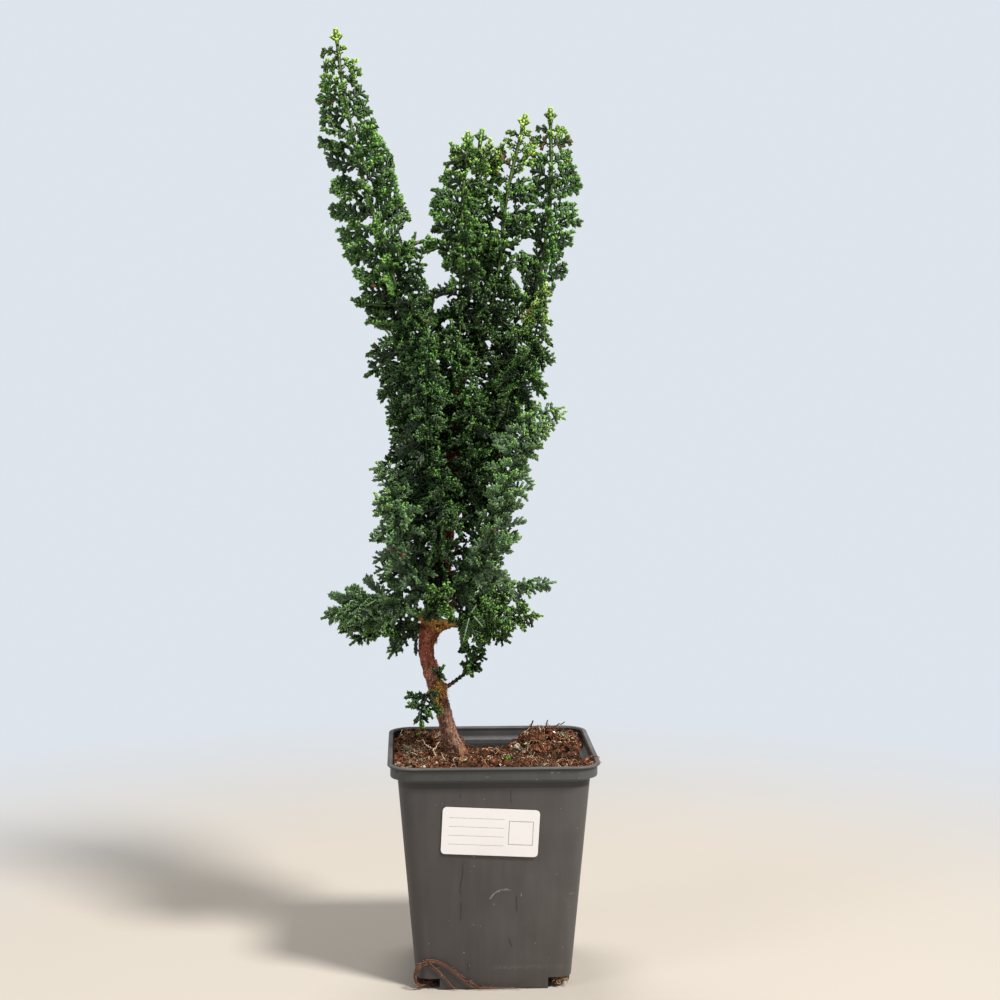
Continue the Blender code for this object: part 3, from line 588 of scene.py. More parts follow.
# gaps in the foliage, and bare places around the stem: (x, height, half width, half height)
gapsSeen = [
    (-0.0745, 0.449, 0.0032, 0.0042), (-0.0745, 0.4375, 0.0021, 0.0021), (-0.071, 0.424, 0.003, 0.004),
    (-0.067, 0.412, 0.0021, 0.004), (-0.0645, 0.4, 0.0038, 0.0038), (-0.0625, 0.39, 0.0027, 0.0027),
    (-0.017, 0.4105, 0.0027, 0.0036), (-0.0195, 0.4015, 0.0027, 0.0027),
    (0.0025, 0.3975, 0.0025, 0.0046), (0.008, 0.426, 0.0016, 0.0034), (0.01, 0.406, 0.0021, 0.0028),
    (0.02, 0.388, 0.004, 0.0092), (0.0138, 0.3692, 0.0034, 0.0055), (0.029, 0.4255, 0.0021, 0.003),
    (0.029, 0.4395, 0.0018, 0.0022), (0.0345, 0.426, 0.0016, 0.0028), (0.034, 0.4165, 0.0017, 0.0034),
    (0.006, 0.416, 0.0016, 0.0028), (0.0258, 0.397, 0.0016, 0.0028), (0.0202, 0.413, 0.0025, 0.004),
    (-0.0325, 0.3425, 0.003, 0.0016), (-0.025, 0.36, 0.0028, 0.0026), (-0.024, 0.35, 0.0021, 0.0016),
    (0.0005, 0.3265, 0.0042, 0.0042), (-0.004, 0.3175, 0.0038, 0.0048),
    (-0.003, 0.2992, 0.0026, 0.0022), (-0.0508, 0.213, 0.0032, 0.0034), (-0.0195, 0.237, 0.0018, 0.003),
    (-0.016, 0.244, 0.0021, 0.0042), (-0.0155, 0.2285, 0.0018, 0.0028), (-0.062, 0.204, 0.0038, 0.002),
    (-0.0545, 0.2038, 0.0026, 0.0026), (-0.0182, 0.1915, 0.0016, 0.0016)]
bareSeen = [
    (-0.0286, 0.1855, 0.0113, 0.0044), (-0.0338, 0.175, 0.0056, 0.0085),
    (-0.0225, 0.1775, 0.0065, 0.0085), (0.016, 0.2137, 0.0068, 0.0052), (-0.0255, 0.164, 0.005, 0.004),
    (-0.0082, 0.1512, 0.0078, 0.0062), (-0.0182, 0.1565, 0.0042, 0.0056),
    (-0.024, 0.1655, 0.0075, 0.005), (-0.03, 0.3755, 0.0048, 0.0085)]
# the lower edge of the low branches, left free where the stem and its sprigs are: (x, height)
lowEdge = [
    (-0.091, 0.189), (-0.084, 0.18), (-0.078, 0.183), (-0.0725, 0.1735), (-0.067, 0.179),
    (-0.064, 0.1755), (-0.0565, 0.1825), (-0.053, 0.1725), (-0.0475, 0.1718), (-0.041, 0.18),
    (-0.04, 0.1), (-0.0165, 0.1), (-0.016, 0.1555), (-0.009, 0.157), (-0.0025, 0.164), (0.0005, 0.1785),
    (0.0065, 0.1755), (0.0195, 0.1842), (0.0255, 0.1915), (0.029, 0.203), (0.0355, 0.2045)]
lowEdgeFrom = 0.1555  # the height above which it holds
bareFront = 0.004  # bareSeen holds for what is nearer than this Y
edgeLines = {side: np.array(points).T for side, points in crownEdge.items()}


def insideOf(x, z, ellipses, slack=0.0):
    # how far each point is from each ellipse's middle, 1 at its edge, squared
    middleX, middleZ, halfX, halfZ = np.array(ellipses).T
    return ((x[:, None] - middleX) / (halfX - slack)) ** 2 + ((z[:, None] - middleZ) / (halfZ - slack)) ** 2


def inSight(points, slack, fine):
    # true if the points keep inside the crown's edge and, where they are fine, out of its gaps
    eye = np.array(view["place"])
    run = points - eye
    share = -eye[1] / run[:, 1]
    x, z = eye[0] + run[:, 0] * share, eye[2] + run[:, 2] * share
    left, right, notchLeft, notchRight = [np.interp(z, *edgeLines[side]) for side in crownEdge]
    crowned = z > edgeLines["left"][0, 0]
    notched = z > edgeLines["notchLeft"][0, 0]
    if np.any(crowned & ((x < left - slack) | (x > right + slack))):
        return False
    if np.any(notched & (x > notchLeft + slack) & (x < notchRight - slack)):
        return False
    if np.any((z > lowEdgeFrom) & (z < np.interp(x, *np.array(lowEdge).T) - slack)):
        return False
    if np.any((insideOf(x, z, bareSeen) < 1) & (points[:, 1:2] < bareFront)):
        return False
    return not fine or bool(np.all(insideOf(x, z, gapsSeen, slack * 0.4) > 0.8))


def hasRoom(points, shoot, fine):
    # true if the points are clear of the wood, in sight, and not too deep in a neighbour's room
    if toWood(points).min() < crown["clearOfWood"] or not inSight(points, shoot["slack"], fine):
        return False
    gaps = toShoots(points)
    mine = gaps[:, shoot["own"]].copy()
    gaps[:, shoot["own"]] = 1.0
    theirs = gaps.min(axis=1)
    return bool(np.all((theirs > mine - crown["intrude"]) & (theirs > crown["clearOfAxes"])))


def growSpray(skin, root, along, out, normal, length, shoot, habit, young, inner, draw):
    # one flat side spray: a stalk, then fingers in opposite pairs, as long as it has room
    shoot["slack"] = draw.gauss(habit["slack"], crown["ragged"])
    angle = math.radians(shoot["lean"] or habit["angle"]) + draw.gauss(0, habit["swing"])
    tilt = math.radians(draw.uniform(-crown["tilt"], crown["tilt"]))
    leaning, normal = turned(out, normal, tilt)
    heading, back = turned(along, leaning, angle)
    back, normal = turned(back, normal, math.radians(draw.gauss(0, habit["roll"])))
    down = np.array([0, 0, -1.0])
    down = down + heading * heading[2]
    mood = shoot["mood"] = draw.random()
    share = np.array(crown["testAt"])
    while length > crown["shortest"]:
        sag = down * (habit["sag"] * length)
        test = root + heading * (share * length)[:, None] + sag * (share ** 2)[:, None]
        if hasRoom(test[:2], shoot, False) and hasRoom(test[2:], shoot, habit is fan):
            break
        length *= crown["shorter"][0]
    else:
        return
    sag = sag + normal * (length * draw.uniform(-crown["sway"], crown["sway"]))
    stalk = habit["width"] * habit["stalk"]
    growTwiglet(skin, root, heading, back, length, stalk, stalk * 0.85, habit,
                (young * 0.5, min(1.0, young + 0.2)), (inner, mood, 0.0), sag)
    at = max(0.0014, habit["bareShare"] * length) + draw.uniform(0, 0.0008)
    while at < length - 0.0012:
        share = at / length
        start = root + heading * at + sag * share ** 2
        for flip in (1, -1):
            reach = min(habit["reach"] * length, habit["longest"]) * draw.uniform(*crown["fingerReach"])
            swell = share / habit["peak"] if share < habit["peak"] else (1 - share) / (1 - habit["peak"])
            reach *= 0.62 + 0.42 * math.sqrt(swell)
            reach = min(reach, (length - at) * 1.2 + 0.0016)
            lean = math.radians(habit["lean"] + (0.5 - share) * 24 + draw.gauss(0, 5))
            aim = heading * math.cos(lean) + back * (flip * math.sin(lean))
            aim = aim + normal * draw.gauss(0, habit["spread"])
            growFinger(skin, start, aim, normal, reach, flip, shoot, habit, young,
                       inner * (1 - 0.5 * share), down, draw, 1)
        at += habit["fingerPitch"] * draw.uniform(*crown["fingerPace"])


def growFinger(skin, start, aim, normal, reach, flip, shoot, habit, young, inner, down, draw, order):
    # one blunt twiglet, the longer ones of a fan with small buds of their own on alternate sides
    aim = aim / np.linalg.norm(aim)
    beside = np.cross(normal, aim)
    while reach > leaf["pitch"] * 1.4:
        if hasRoom((start + aim * reach)[None], shoot, True):
            break
        reach *= crown["shorter"][1]
    else:
        return
    curl = down * (0.06 * reach) + beside * (-flip * 0.1 * reach) + normal * (draw.gauss(0, 0.06) * reach)
    slim = habit["width"] * draw.uniform(0.86, 1.04) * (1.0 if order == 1 else 0.9)
    chance = draw.random()
    dead = 1.0 if chance < leaf["deadShare"] else 0.0
    if young > 0.45 and chance > 1 - leaf["rustShare"]:
        dead = 0.5
    growTwiglet(skin, start, aim, beside, reach, slim, habit["thick"] * draw.uniform(0.85, 1.05),
                habit, (young * 0.7, min(1.0, young + habit["tipLift"] + draw.uniform(0, 0.14))),
                (inner, 0.55 * shoot["mood"] + 0.45 * draw.random(), dead), curl)
    if order == habit["buds"]:
        return
    at = crown["forkFrom"]
    side = flip
    while at < reach - 0.0012:
        share = at / reach
        fork = start + aim * at + curl * share ** 2
        lean = math.radians(draw.uniform(38, 56))
        second = aim * math.cos(lean) + beside * (math.sin(lean) * side) + normal * draw.gauss(0, 0.18)
        length = min(crown["forkLongest"], (reach - at) * 0.66 + 0.0011)
        growFinger(skin, fork, second, normal, length, side, shoot, habit, young, inner, down, draw, 2)
        side = -side
        at += crown["forkPitch"]


def growBud(skin, root, along, out, length, young, draw):
    # one fat young bud at the tip of a shoot, with a smaller one at its foot
    angle = math.radians(draw.uniform(36, 48) + 3200 * length)
    heading, back = turned(along, out, angle)
    tone = (young, min(1.0, young + 0.15))
    growTwiglet(skin, root, heading, back, length, *bud["main"], fan, tone,
                (0.0, draw.random(), 0.0), along * (0.12 * length))
    if length > bud["secondFrom"]:
        second = unit(heading * 0.8 - along * 0.5)
        growTwiglet(skin, root + heading * length * 0.35, second, back, length * 0.55, *bud["second"],
                    fan, tone, (0.0, draw.random(), 0.4 * (draw.random() < 0.3)), along * (0.1 * length))


def growThorns(skin, root, along, left, shoot, draw):
    # the stem's own small leaves, a pair between one pair of sprays and the next
    for flip in (1, -1):
        heading = unit(along * 0.5 + left * flip)
        growTwiglet(skin, root + left * (flip * shoot["stem"] * 0.3), heading, along, *thorn,
                    feather, (0.05, 0.15), (0.3, draw.random(), 0.2), along * 0.0002)


def growAxis(skin, path, turn, baseReach, tipReach, shoot, draw):
    # a stem with its sprays, from its foot to its tip
    along = tangents(path)
    last = Vector(along[-1])
    side = Quaternion(last, math.radians(turn)) @ Vector((0, 1, 0)).cross(last).normalized()
    side = np.array(side)
    sides = np.empty_like(path)
    for i in range(len(path) - 1, -1, -1):
        side = unit(side - along[i] * side.dot(along[i]))
        sides[i] = side
    run = runAlong(path)
    total = run[-1]
    glow = shoot["glow"]

    at = np.linspace(0, total, max(3, round(total / crown["stemRing"])) + 1)
    width = shoot["stem"] * (1 - crown["stemTaper"] * at / total)
    growScales(skin, readAt(at, run, path), readAt(at, run, sides), width, width * 0.85, 0.78,
               (shoot["stemTone"], shoot["stemTone"] + 0.1), (0.4, 0.4, shoot["woody"]), 0.45)
    down, length = crown["endBud"]
    growTwiglet(skin, path[-1] - along[-1] * down, along[-1], sides[-1], length, shoot["bud"] * 0.86,
                shoot["bud"] * 0.8, fan, (glow * 0.8, min(1.0, glow + 0.1)), (0.0, 0.7, 0.0), along[-1] * 0)

    budRun = min(crown["budLength"], total / 2)
    toTip = crown["firstPair"]
    k = 0
    while toTip < total - 0.001:
        done = 1 - toTip / total
        i = min(int(np.searchsorted(run, total - toTip)), len(path) - 1)
        point, ahead, left = path[i], along[i], sides[i]
        face = np.cross(ahead, left)
        habit = fan if shoot["fans"] and toTip < crown["fanShare"] * total else feather
        reach = baseReach + (tipReach - baseReach) * done
        reach *= min(1.0, crown["budShare"] + (1 - crown["budShare"]) * toTip / budRun)
        reach *= min(1.0, (toTip + 0.0015) / crown["tipTaper"]) ** 0.75
        young = shoot["tone"] + (glow - shoot["tone"]) * max(0.0, 1 - toTip / shoot["youngRun"]) ** 0.8
        angle = math.radians(habit["turns"][k % len(habit["turns"])])
        out, normal = turned(left, face, angle)
        across = abs(math.cos(angle))
        reach *= crown["frontShare"] + (crown["sideShare"] - crown["frontShare"]) * across
        if habit is fan and across < 0.5:
            reach *= 1 - 0.4 * max(0.0, min(1.0, (done - 0.35) / 0.4))
        for flip in (1, -1):
            if toTip < shoot["budZone"]:
                growBud(skin, point + out * (flip * 0.0004), ahead, out * flip,
                        0.0026 + 0.4 * (toTip - crown["firstPair"]) * draw.uniform(0.8, 1.2), young, draw)
            else:
                start = point + out * (flip * crown["besideStem"])
                length = max(reach, crown["leastReach"]) * draw.uniform(*crown["uneven"])
                growSpray(skin, start, ahead, out * flip, normal * flip, length, shoot, habit, young,
                          1 - done, draw)
        if habit is fan and toTip > shoot["budZone"]:
            growThorns(skin, path[max(i - 1, 0)], ahead, left, shoot, draw)
        elif habit is feather and inSight(point[None], 0.0, False):
            for flip in (1, -1):
                heading = ahead * draw.uniform(*cover["along"]) + normal * flip
                heading = unit(heading + out * draw.gauss(0, 0.4))
                growTwiglet(skin, point + normal * (flip * 0.0004), heading, out,
                            draw.uniform(*cover["length"]), cover["width"], cover["thick"], feather,
                            (young * 0.7, young + draw.uniform(0.1, 0.24)),
                            (1 - done, draw.random(), 0.0), np.array([0, 0, -0.0006]))
        k += 1
        share = min(1.0, toTip / crown["tipTaper"])
        toTip += crown["tipPitch"] + (habit["pitch"] - crown["tipPitch"]) * share


def growRibbed(skin, foot, tip, draw):
    # a spray seen from below: a white midrib between close green fingers
    heading = unit(tip - foot)
    length = np.linalg.norm(tip - foot)
    back = unit(np.cross(heading, (0, 1, 0)))
    still = np.zeros(3)
    usual = skin["pale"]
    skin["pale"] = rib["paleness"][0]
    growTwiglet(skin, foot, heading, back, length, *rib["core"], feather, (0.05, 0.25), (0, 0.6, 0), still)
    fingerLength, *fingerSize = rib["finger"]
    at = 0.0009
    while at < length - 0.0006:
        for flip in (1, -1):
            aim = unit(heading * 0.8 + back * flip + np.array([0, draw.gauss(0, 0.12), 0]))
            reach = fingerLength * math.sqrt(max(0.2, 1 - at / length)) * draw.uniform(0.85, 1.1)
            growTwiglet(skin, foot + heading * at, aim, back, reach, *fingerSize, feather,
                        (0.0, 0.3), (0, draw.random(), 0), still)
        at += rib["pitch"]
    skin["pale"] = rib["paleness"][1]
    growTwiglet(skin, foot + (0, -0.0008, 0), heading, back, length * 0.92, *rib["white"], feather,
                (0.35, 0.45), (0, 0.9, 0), still)
    skin["pale"] = usual


def firstGreen(name, fine):
    # index on a finer path of the same shoot from which it is leafy
    return round(greenFrom(name) / (len(sourcePaths[name]) - 1) * (len(fine) - 1))


def growShoot(name):
    points, baseReach, tipReach, turn = shoots[name]
    draw = random.Random(crown["seed"] + sum(map(ord, name)))
    fine = smoothPath(points, crown["fineStep"])
    path = fine[firstGreen(name, fine):]
    path = np.concatenate([path, (path[-1] + unit(path[-1] - path[-2]) * crown["tipReach"])[None]])
    kind = leaderKind if name.startswith("leader") else shootKind
    shoot = {**kind, "own": names.index(name), "glow": tipGlow.get(name, 0.16), "lean": sprayLean.get(name),
             "youngRun": youngRun.get(name, kind["youngRun"]), "tone": toneLift.get(name, kind["tone"]),
             "stemTone": leaderKind["stemTone"] if name in palest else kind["stemTone"]}
    skin = newSkin()
    skin["pale"] = 0.8 if name in palest else 0.0
    growAxis(skin, path, turn, baseReach, tipReach, shoot, draw)
    for k, (points, reach) in enumerate(sideAxes.get(name, [])):
        foot = path[np.argmin(np.linalg.norm(path - (np.array(points[0]) - (0, 0, 0.006)), axis=1))]
        shoot["glow"] = min(shoot["glow"] * 0.88, sideGlow.get(name, 1.0))
        growAxis(skin, smoothPath([foot, *points], crown["fineStep"]), 35 * k, reach, reach, shoot, draw)
    for foot, tip in ribbed.get(name, []):
        growRibbed(skin, np.array(foot), np.array(tip), draw)
    return skinObject("foliage_" + name, skin, True)


# Round tubes, lumps and noise for the wood, the soil and the roots

def latticeNoise(points, seed):
    # smooth noise in -1..1 at points (n, 3), its lattice one unit apart
    cell = np.floor(points).astype(np.int64)
    part = points - cell
    ease = part * part * (3 - 2 * part)
    total = np.zeros(len(points))
    for corner in range(8):
        step = np.array([corner & 1, corner >> 1 & 1, corner >> 2 & 1])
        key = (cell + step) @ np.array([73856093, 19349663, 83492791]) + seed * 7919
        key = (key ^ (key >> 13)) * 1274126177 & 0xFFFFFFFF
        key = (key ^ (key >> 16)) * 2246822519 & 0xFFFFFFFF
        total += ((key >> 8 & 0xFFFF) / 32767.5 - 1) * np.where(step, ease, 1 - ease).prod(axis=1)
    return total


def carriedFrames(path):
    # directions along and across a path that turn no more than they must
    along = tangents(path)
    across = np.empty_like(path)
    side = np.cross(along[0], (0.31, 0.93, 0.21))
    for i, ahead in enumerate(along):
        side = unit(side - ahead * side.dot(ahead))
        across[i] = side
    return along, across, np.cross(along, across)


def tubeFaces(rings, sides):
    first = np.arange(rings - 1)[:, None] * sides
    c = np.arange(sides)
    a, b = first + c, first + (c + 1) % sides
    walls = np.stack([a, b, b + sides, a, b + sides, a + sides], axis=-1).reshape(-1, 3)
    last = (rings - 1) * sides
    return np.concatenate([walls, triangles((c + 1) % sides, c, rings * sides),
                           triangles(last + c, last + (c + 1) % sides, rings * sides + 1)])


def ringsAround(path, sides, flat=1.0):
    # the direction along each point of a path, and those out to the corners of its ring
    along, across, up = carriedFrames(path)
    turn = np.arange(sides)[None, :, None] * (2 * math.pi / sides)
    return along, across[:, None] * np.cos(turn) + up[:, None] * (flat * np.sin(turn))


def growTube(skin, path, radii, sides, tone, relief=None, flat=1.0):
    # a closed tube; relief (rings, sides) lifts its surface, flat thins it one way
    along, out = ringsAround(path, sides, flat)
    reach = np.broadcast_to(np.asarray(radii)[:, None], out.shape[:2])
    if relief is not None:
        reach = reach + relief
    rings = path[:, None] + out * reach[..., None]
    ends = [path[0] - along[0] * radii[0] * 0.3, path[-1] + along[-1] * radii[-1] * 0.6]
    points = np.concatenate([rings.reshape(-1, 3), ends])
    if np.ndim(tone) == 3:
        tone = np.concatenate([tone.reshape(-1, 3), tone[0, :1], tone[-1, :1]])
    addPart(skin, points, tubeFaces(len(path), sides), tone)


golden = (1 + math.sqrt(5)) / 2
lumpPoints = unit(np.array([(-1, golden, 0), (1, golden, 0), (-1, -golden, 0), (1, -golden, 0),
                            (0, -1, golden), (0, 1, golden), (0, -1, -golden), (0, 1, -golden),
                            (golden, 0, -1), (golden, 0, 1), (-golden, 0, -1), (-golden, 0, 1)]))
lumpFaces = np.array([(0, 11, 5), (0, 5, 1), (0, 1, 7), (0, 7, 10), (0, 10, 11), (1, 5, 9), (5, 11, 4),
                      (11, 10, 2), (10, 7, 6), (7, 1, 8), (3, 9, 4), (3, 4, 2), (3, 2, 6), (3, 6, 8),
                      (3, 8, 9), (4, 9, 5), (2, 4, 11), (6, 2, 10), (8, 6, 7), (9, 8, 1)])


def growLump(skin, place, size, tone, draw):
    # an uneven crumb with twelve corners
    jitter = np.array([draw.uniform(0.7, 1.2) for _ in lumpPoints])[:, None]
    squash = np.array([draw.uniform(0.7, 1.3), draw.uniform(0.7, 1.3), draw.uniform(0.5, 0.9)])
    turn = draw.uniform(0, math.pi)
    points = lumpPoints * jitter * squash * size
    c, s = math.cos(turn), math.sin(turn)
    points = np.stack([points[:, 0] * c - points[:, 1] * s, points[:, 0] * s + points[:, 1] * c,
                       points[:, 2]], axis=1)
    addPart(skin, points + place, lumpFaces, np.clip(np.array(tone) * draw.uniform(0.75, 1.25), 0, 1))


def subdivided(points, faces):
    points, middles, finer = list(points), {}, []

    def middle(a, b):
        key = (min(a, b), max(a, b))
        if key not in middles:
            middles[key] = len(points)
            points.append(unit(points[a] + points[b]))
        return middles[key]

    for a, b, c in faces:
        ab, bc, ca = middle(a, b), middle(b, c), middle(c, a)
        finer += [(a, ab, ca), (ab, b, bc), (ca, bc, c), (ab, bc, ca)]
    return np.array(points), np.array(finer)


clodPoints, clodFaces = subdivided(lumpPoints, lumpFaces)


def growClod(skin, place, size, tone, draw):
    # a knobbly clod, darker in its hollows
    seed = draw.randrange(1000)
    knobs = latticeNoise(clodPoints * 1.7 + seed, 12) + 0.6 * latticeNoise(clodPoints * 4.1 + seed, 13)
    squash = np.array([draw.uniform(0.75, 1.3), draw.uniform(0.75, 1.3), draw.uniform(0.6, 0.95)])
    points = clodPoints * squash * (size * (1 + 0.42 * knobs))[:, None] + place
    shade = np.clip(0.85 + 0.9 * knobs, 0.25, 1.5)[:, None] * draw.uniform(0.8, 1.2)
    addPart(skin, points, clodFaces, np.clip(np.array(tone) * shade, 0, 1))


flakeFaces = np.array([(0, 2, 1), (0, 1, 3), (1, 2, 3), (2, 0, 3)])


def growFlake(skin, place, ahead, across, out, length, width, tone):
    # a scale that lies on the bark and lifts at its tip
    foot = place - out * 0.0003
    points = np.array([foot - across * width / 2, foot + across * width / 2,
                       place + ahead * length * 0.35 + out * 0.00025,
                       place + ahead * length + out * length * 0.38])
    addPart(skin, points, flakeFaces, tone)


def wander(draw, start, heading, length, step, curl):
    # points of a curled line in the plane
    points = [np.array(start, float)]
    bend = draw.gauss(0, curl)
    for _ in range(max(3, round(length / step))):
        bend += draw.gauss(0, curl * 0.5)
        heading += bend * step
        points.append(points[-1] + step * np.array([math.cos(heading), math.sin(heading)]))
    return np.array(points)


# Wood: the stem, its limbs and the flakes of its bark
wood = {
    "step": 0.0006,
    "sides": 56,
    "soilFoot": 0.104,  # the lowest part that is made
    "limbStep": 0.001,
    "limbSides": 12,
    "limbFoot": 0.002,
    "limbTip": 0.0014,
    "lump": 0.00038,
    "fibre": 0.00022,
    "flake": 0.00046,
    "flakePitch": 0.0023,
    "flakes": 1300,
    "swell": (0.114, 0.0042, 0.0011),  # where the stem swells into the soil, over what height, how much
    "stubSides": 28,
    "stubFrom": 0.0021,  # limbs whose foot is thicker than this have that many sides
    "redder": (0.128, 0.045),  # from this height up, over this height
    "mossBand": (0.143, 0.005),  # a film of moss: height and half height
    "footShade": (0.112, 0.008),  # painted shade on the bark just above the soil, in the same way
    # a slim limb that is clothed in dead leaves: how slim, how far, how wide
    "clothed": ("twig_knot_right", 0.5, 0.5, 0.0031),
    "brown": (0.315, 0.08, 0.045),
    "grey": (0.44, 0.245, 0.17),
    "orange": (0.46, 0.165, 0.034),
    "flame": (1.0, 0.54, 0.12),
    "yellow": (0.9, 0.74, 0.17),
    "moss": (0.16, 0.17, 0.045),
    "pale": (0.58, 0.4, 0.28),
    "dark": (0.012, 0.005, 0.003),
    "deadLeaf": (0.07, 0.085, 0.032),
    "deadLeafGapShade": (0.02, 0.012, 0.006),
}
# where the bark is orange: (height, half height, towards +X or -X or all round as 1, -1 or 0, strength)
orangeBark = [(0.1888, 0.004, 0, 1.0), (0.1525, 0.0036, 1, 1.0), (0.1165, 0.005, 1, 0.45),
              (0.183, 0.003, -1, 0.6), (0.23, 0.03, 0, 0.25)]
# torn bark: (height, half height, direction, how far the flakes stray from it, flakes, colours)
tornBark = [(0.1524, 0.0034, (0.8, -0.75), 0.38, 300, ("flame", "flame", "flame", "orange")),
            (0.144, 0.0042, (-0.6, -0.85), 0.28, 130, ("yellow", "yellow", "flame")),
            (0.189, 0.0026, (-0.1, -1.0), 1.0, 150, ("flame", "orange", "yellow"))]
# the same on the short limbs, with the number of the limb in stubs first
tornStubs = [(0, 0.1868, 0.0016, (0.2, -1.0), 0.6, 90, ("flame", "orange", "yellow")),
             (2, 0.183, 0.0008, (-0.2, -1.0), 0.8, 40, ("flame", "orange", "yellow")),
             (0, 0.18, 0.0016, (0.8, -0.4), 0.5, 60, ("brown", "orange", "brown"))]
# short limbs and swellings: three points, radius at the foot and at the tip
stubs = [
    ((-0.035, 0.0, 0.1752), (-0.028, -0.0012, 0.1842), (-0.0172, -0.003, 0.1879), 0.004, 0.0016),
    ((-0.0345, 0.0, 0.1775), (-0.0322, -0.0006, 0.185), (-0.033, -0.001, 0.193), 0.0046, 0.0034),
    ((-0.0345, -0.001, 0.181), (-0.038, -0.003, 0.1828), (-0.0418, -0.0045, 0.1835), 0.0022, 0.0011),
    ((-0.0345, 0.001, 0.17), (-0.0375, 0.0, 0.1712), (-0.0395, -0.0005, 0.1722), 0.0012, 0.0006),
    ((-0.03, -0.0015, 0.158), (-0.0288, -0.005, 0.163), (-0.0294, -0.006, 0.168), 0.0011, 0.0005),
    ((-0.029, 0.0, 0.15), (-0.0262, -0.0018, 0.1525), (-0.0236, -0.0032, 0.1536), 0.0026, 0.0013)]
# where the stem runs out into a root, in the same way
rootFlares = [
    ((-0.0215, 0.0045, 0.1245), (-0.0178, 0.0022, 0.119), (-0.0152, 0.0005, 0.1135), 0.0024, 0.0012)]


def barkRelief(surface, run, seed):
    # height of lumps, fibres and lifted flakes on the bark at points on its smooth surface
    low = surface / 0.0026
    fine = np.stack([surface[:, 0] / 0.00055, surface[:, 1] / 0.00055, surface[:, 2] / 0.005], axis=1)
    lump = latticeNoise(low, seed)
    fibre = latticeNoise(fine, seed + 1)
    phase = run / wood["flakePitch"] + 1.6 * latticeNoise(surface / 0.0017, seed + 2)
    flake = (phase - np.floor(phase)) ** 2
    return wood["lump"] * lump + wood["fibre"] * fibre + wood["flake"] * (flake - 0.35), fibre, flake


def barkTone(surface, sideways, fibre, flake, seed):
    # colour of the bark: grey-brown low down, redder above, orange where it has flaked off
    height = surface[:, 2]

    def near(middle, half):
        return np.exp(-((height - middle) / half) ** 2)

    low, over = wood["redder"]
    high = np.clip((height - low) / over, 0, 1) + 0.25 * latticeNoise(surface / 0.004, seed + 5)
    high = np.clip(high, 0, 1)[:, None]
    tone = mixed(wood["grey"], wood["brown"], high)
    patches = latticeNoise(surface / 0.0019, seed + 6)
    orange = np.zeros(len(surface))
    for middle, half, side, strength in orangeBark:
        share = near(middle, half) * strength
        if side:
            share *= np.clip(0.5 + 0.9 * side * sideways, 0, 1)
        orange = np.maximum(orange, share)
    orange = np.clip(orange * 1.5 + 0.55 * patches - 0.35, 0, 1)[:, None]
    tone = mixed(tone, wood["orange"], orange)
    green = near(*wood["mossBand"]) * np.clip(0.5 + patches, 0, 1)
    tone = mixed(tone, wood["moss"], 0.12 * green[:, None])
    tone = mixed(tone, np.array(wood["flame"]) * 0.8, np.clip(orange * 1.8 - 0.8, 0, 0.95))
    pale = np.clip(latticeNoise(surface / 0.0011, seed + 7) * 2.2 - 0.95, 0, 1) * (1 - 0.5 * high[:, 0])
    tone = mixed(tone, wood["pale"], 0.8 * pale[:, None])
    shade = np.clip(0.55 + 0.42 * fibre + 0.55 * flake, 0.12, 1.5)[:, None]
    # painted shade: the bark is painted darker just above the soil
    shade = shade * (1 - 0.42 * near(*wood["footShade"]))[:, None]
    return np.array(wood["dark"]) + tone * shade


def growWood(skin, path, radii, sides, seed, reliefShare=1.0):
    out = ringsAround(path, sides)[1]
    surface = (path[:, None] + out * np.asarray(radii)[:, None, None]).reshape(-1, 3)
    step = np.linalg.norm(path[1] - path[0])
    run = np.repeat(np.arange(len(path)) * step, sides)
    relief, fibre, flake = barkRelief(surface, run, seed)
    tone = barkTone(surface, out[..., 0].ravel(), fibre, flake, seed).reshape(len(path), sides, 3)
    growTube(skin, path, radii, sides, tone, relief.reshape(len(path), sides) * reliefShare)


def tearBark(skin, line, reach, patch, draw):
    # flakes that stand up where the bark is torn
    height, half, way, spread, count, colours = patch
    for _ in range(count):
        i = int(np.argmin(np.abs(line[:, 2] - draw.gauss(height, half * 0.6))))
        i = min(i, len(line) - 2)
        ahead = unit(line[i + 1] - line[i])
        out = np.array([way[0] + draw.gauss(0, spread), way[1] + draw.gauss(0, spread), 0.0])
        out = unit(out - ahead * out.dot(ahead))
        lift = unit(ahead * draw.choice((1, -1, -1, -1)) + out * draw.uniform(0.2, 0.75))
        growFlake(skin, line[i] + out * (reach[i] + 0.0001), lift, np.cross(lift, out), out,
                  draw.uniform(0.0012, 0.0027), draw.uniform(0.0007, 0.0014),
                  np.array(wood[draw.choice(colours)]) * draw.uniform(0.75, 1.0))


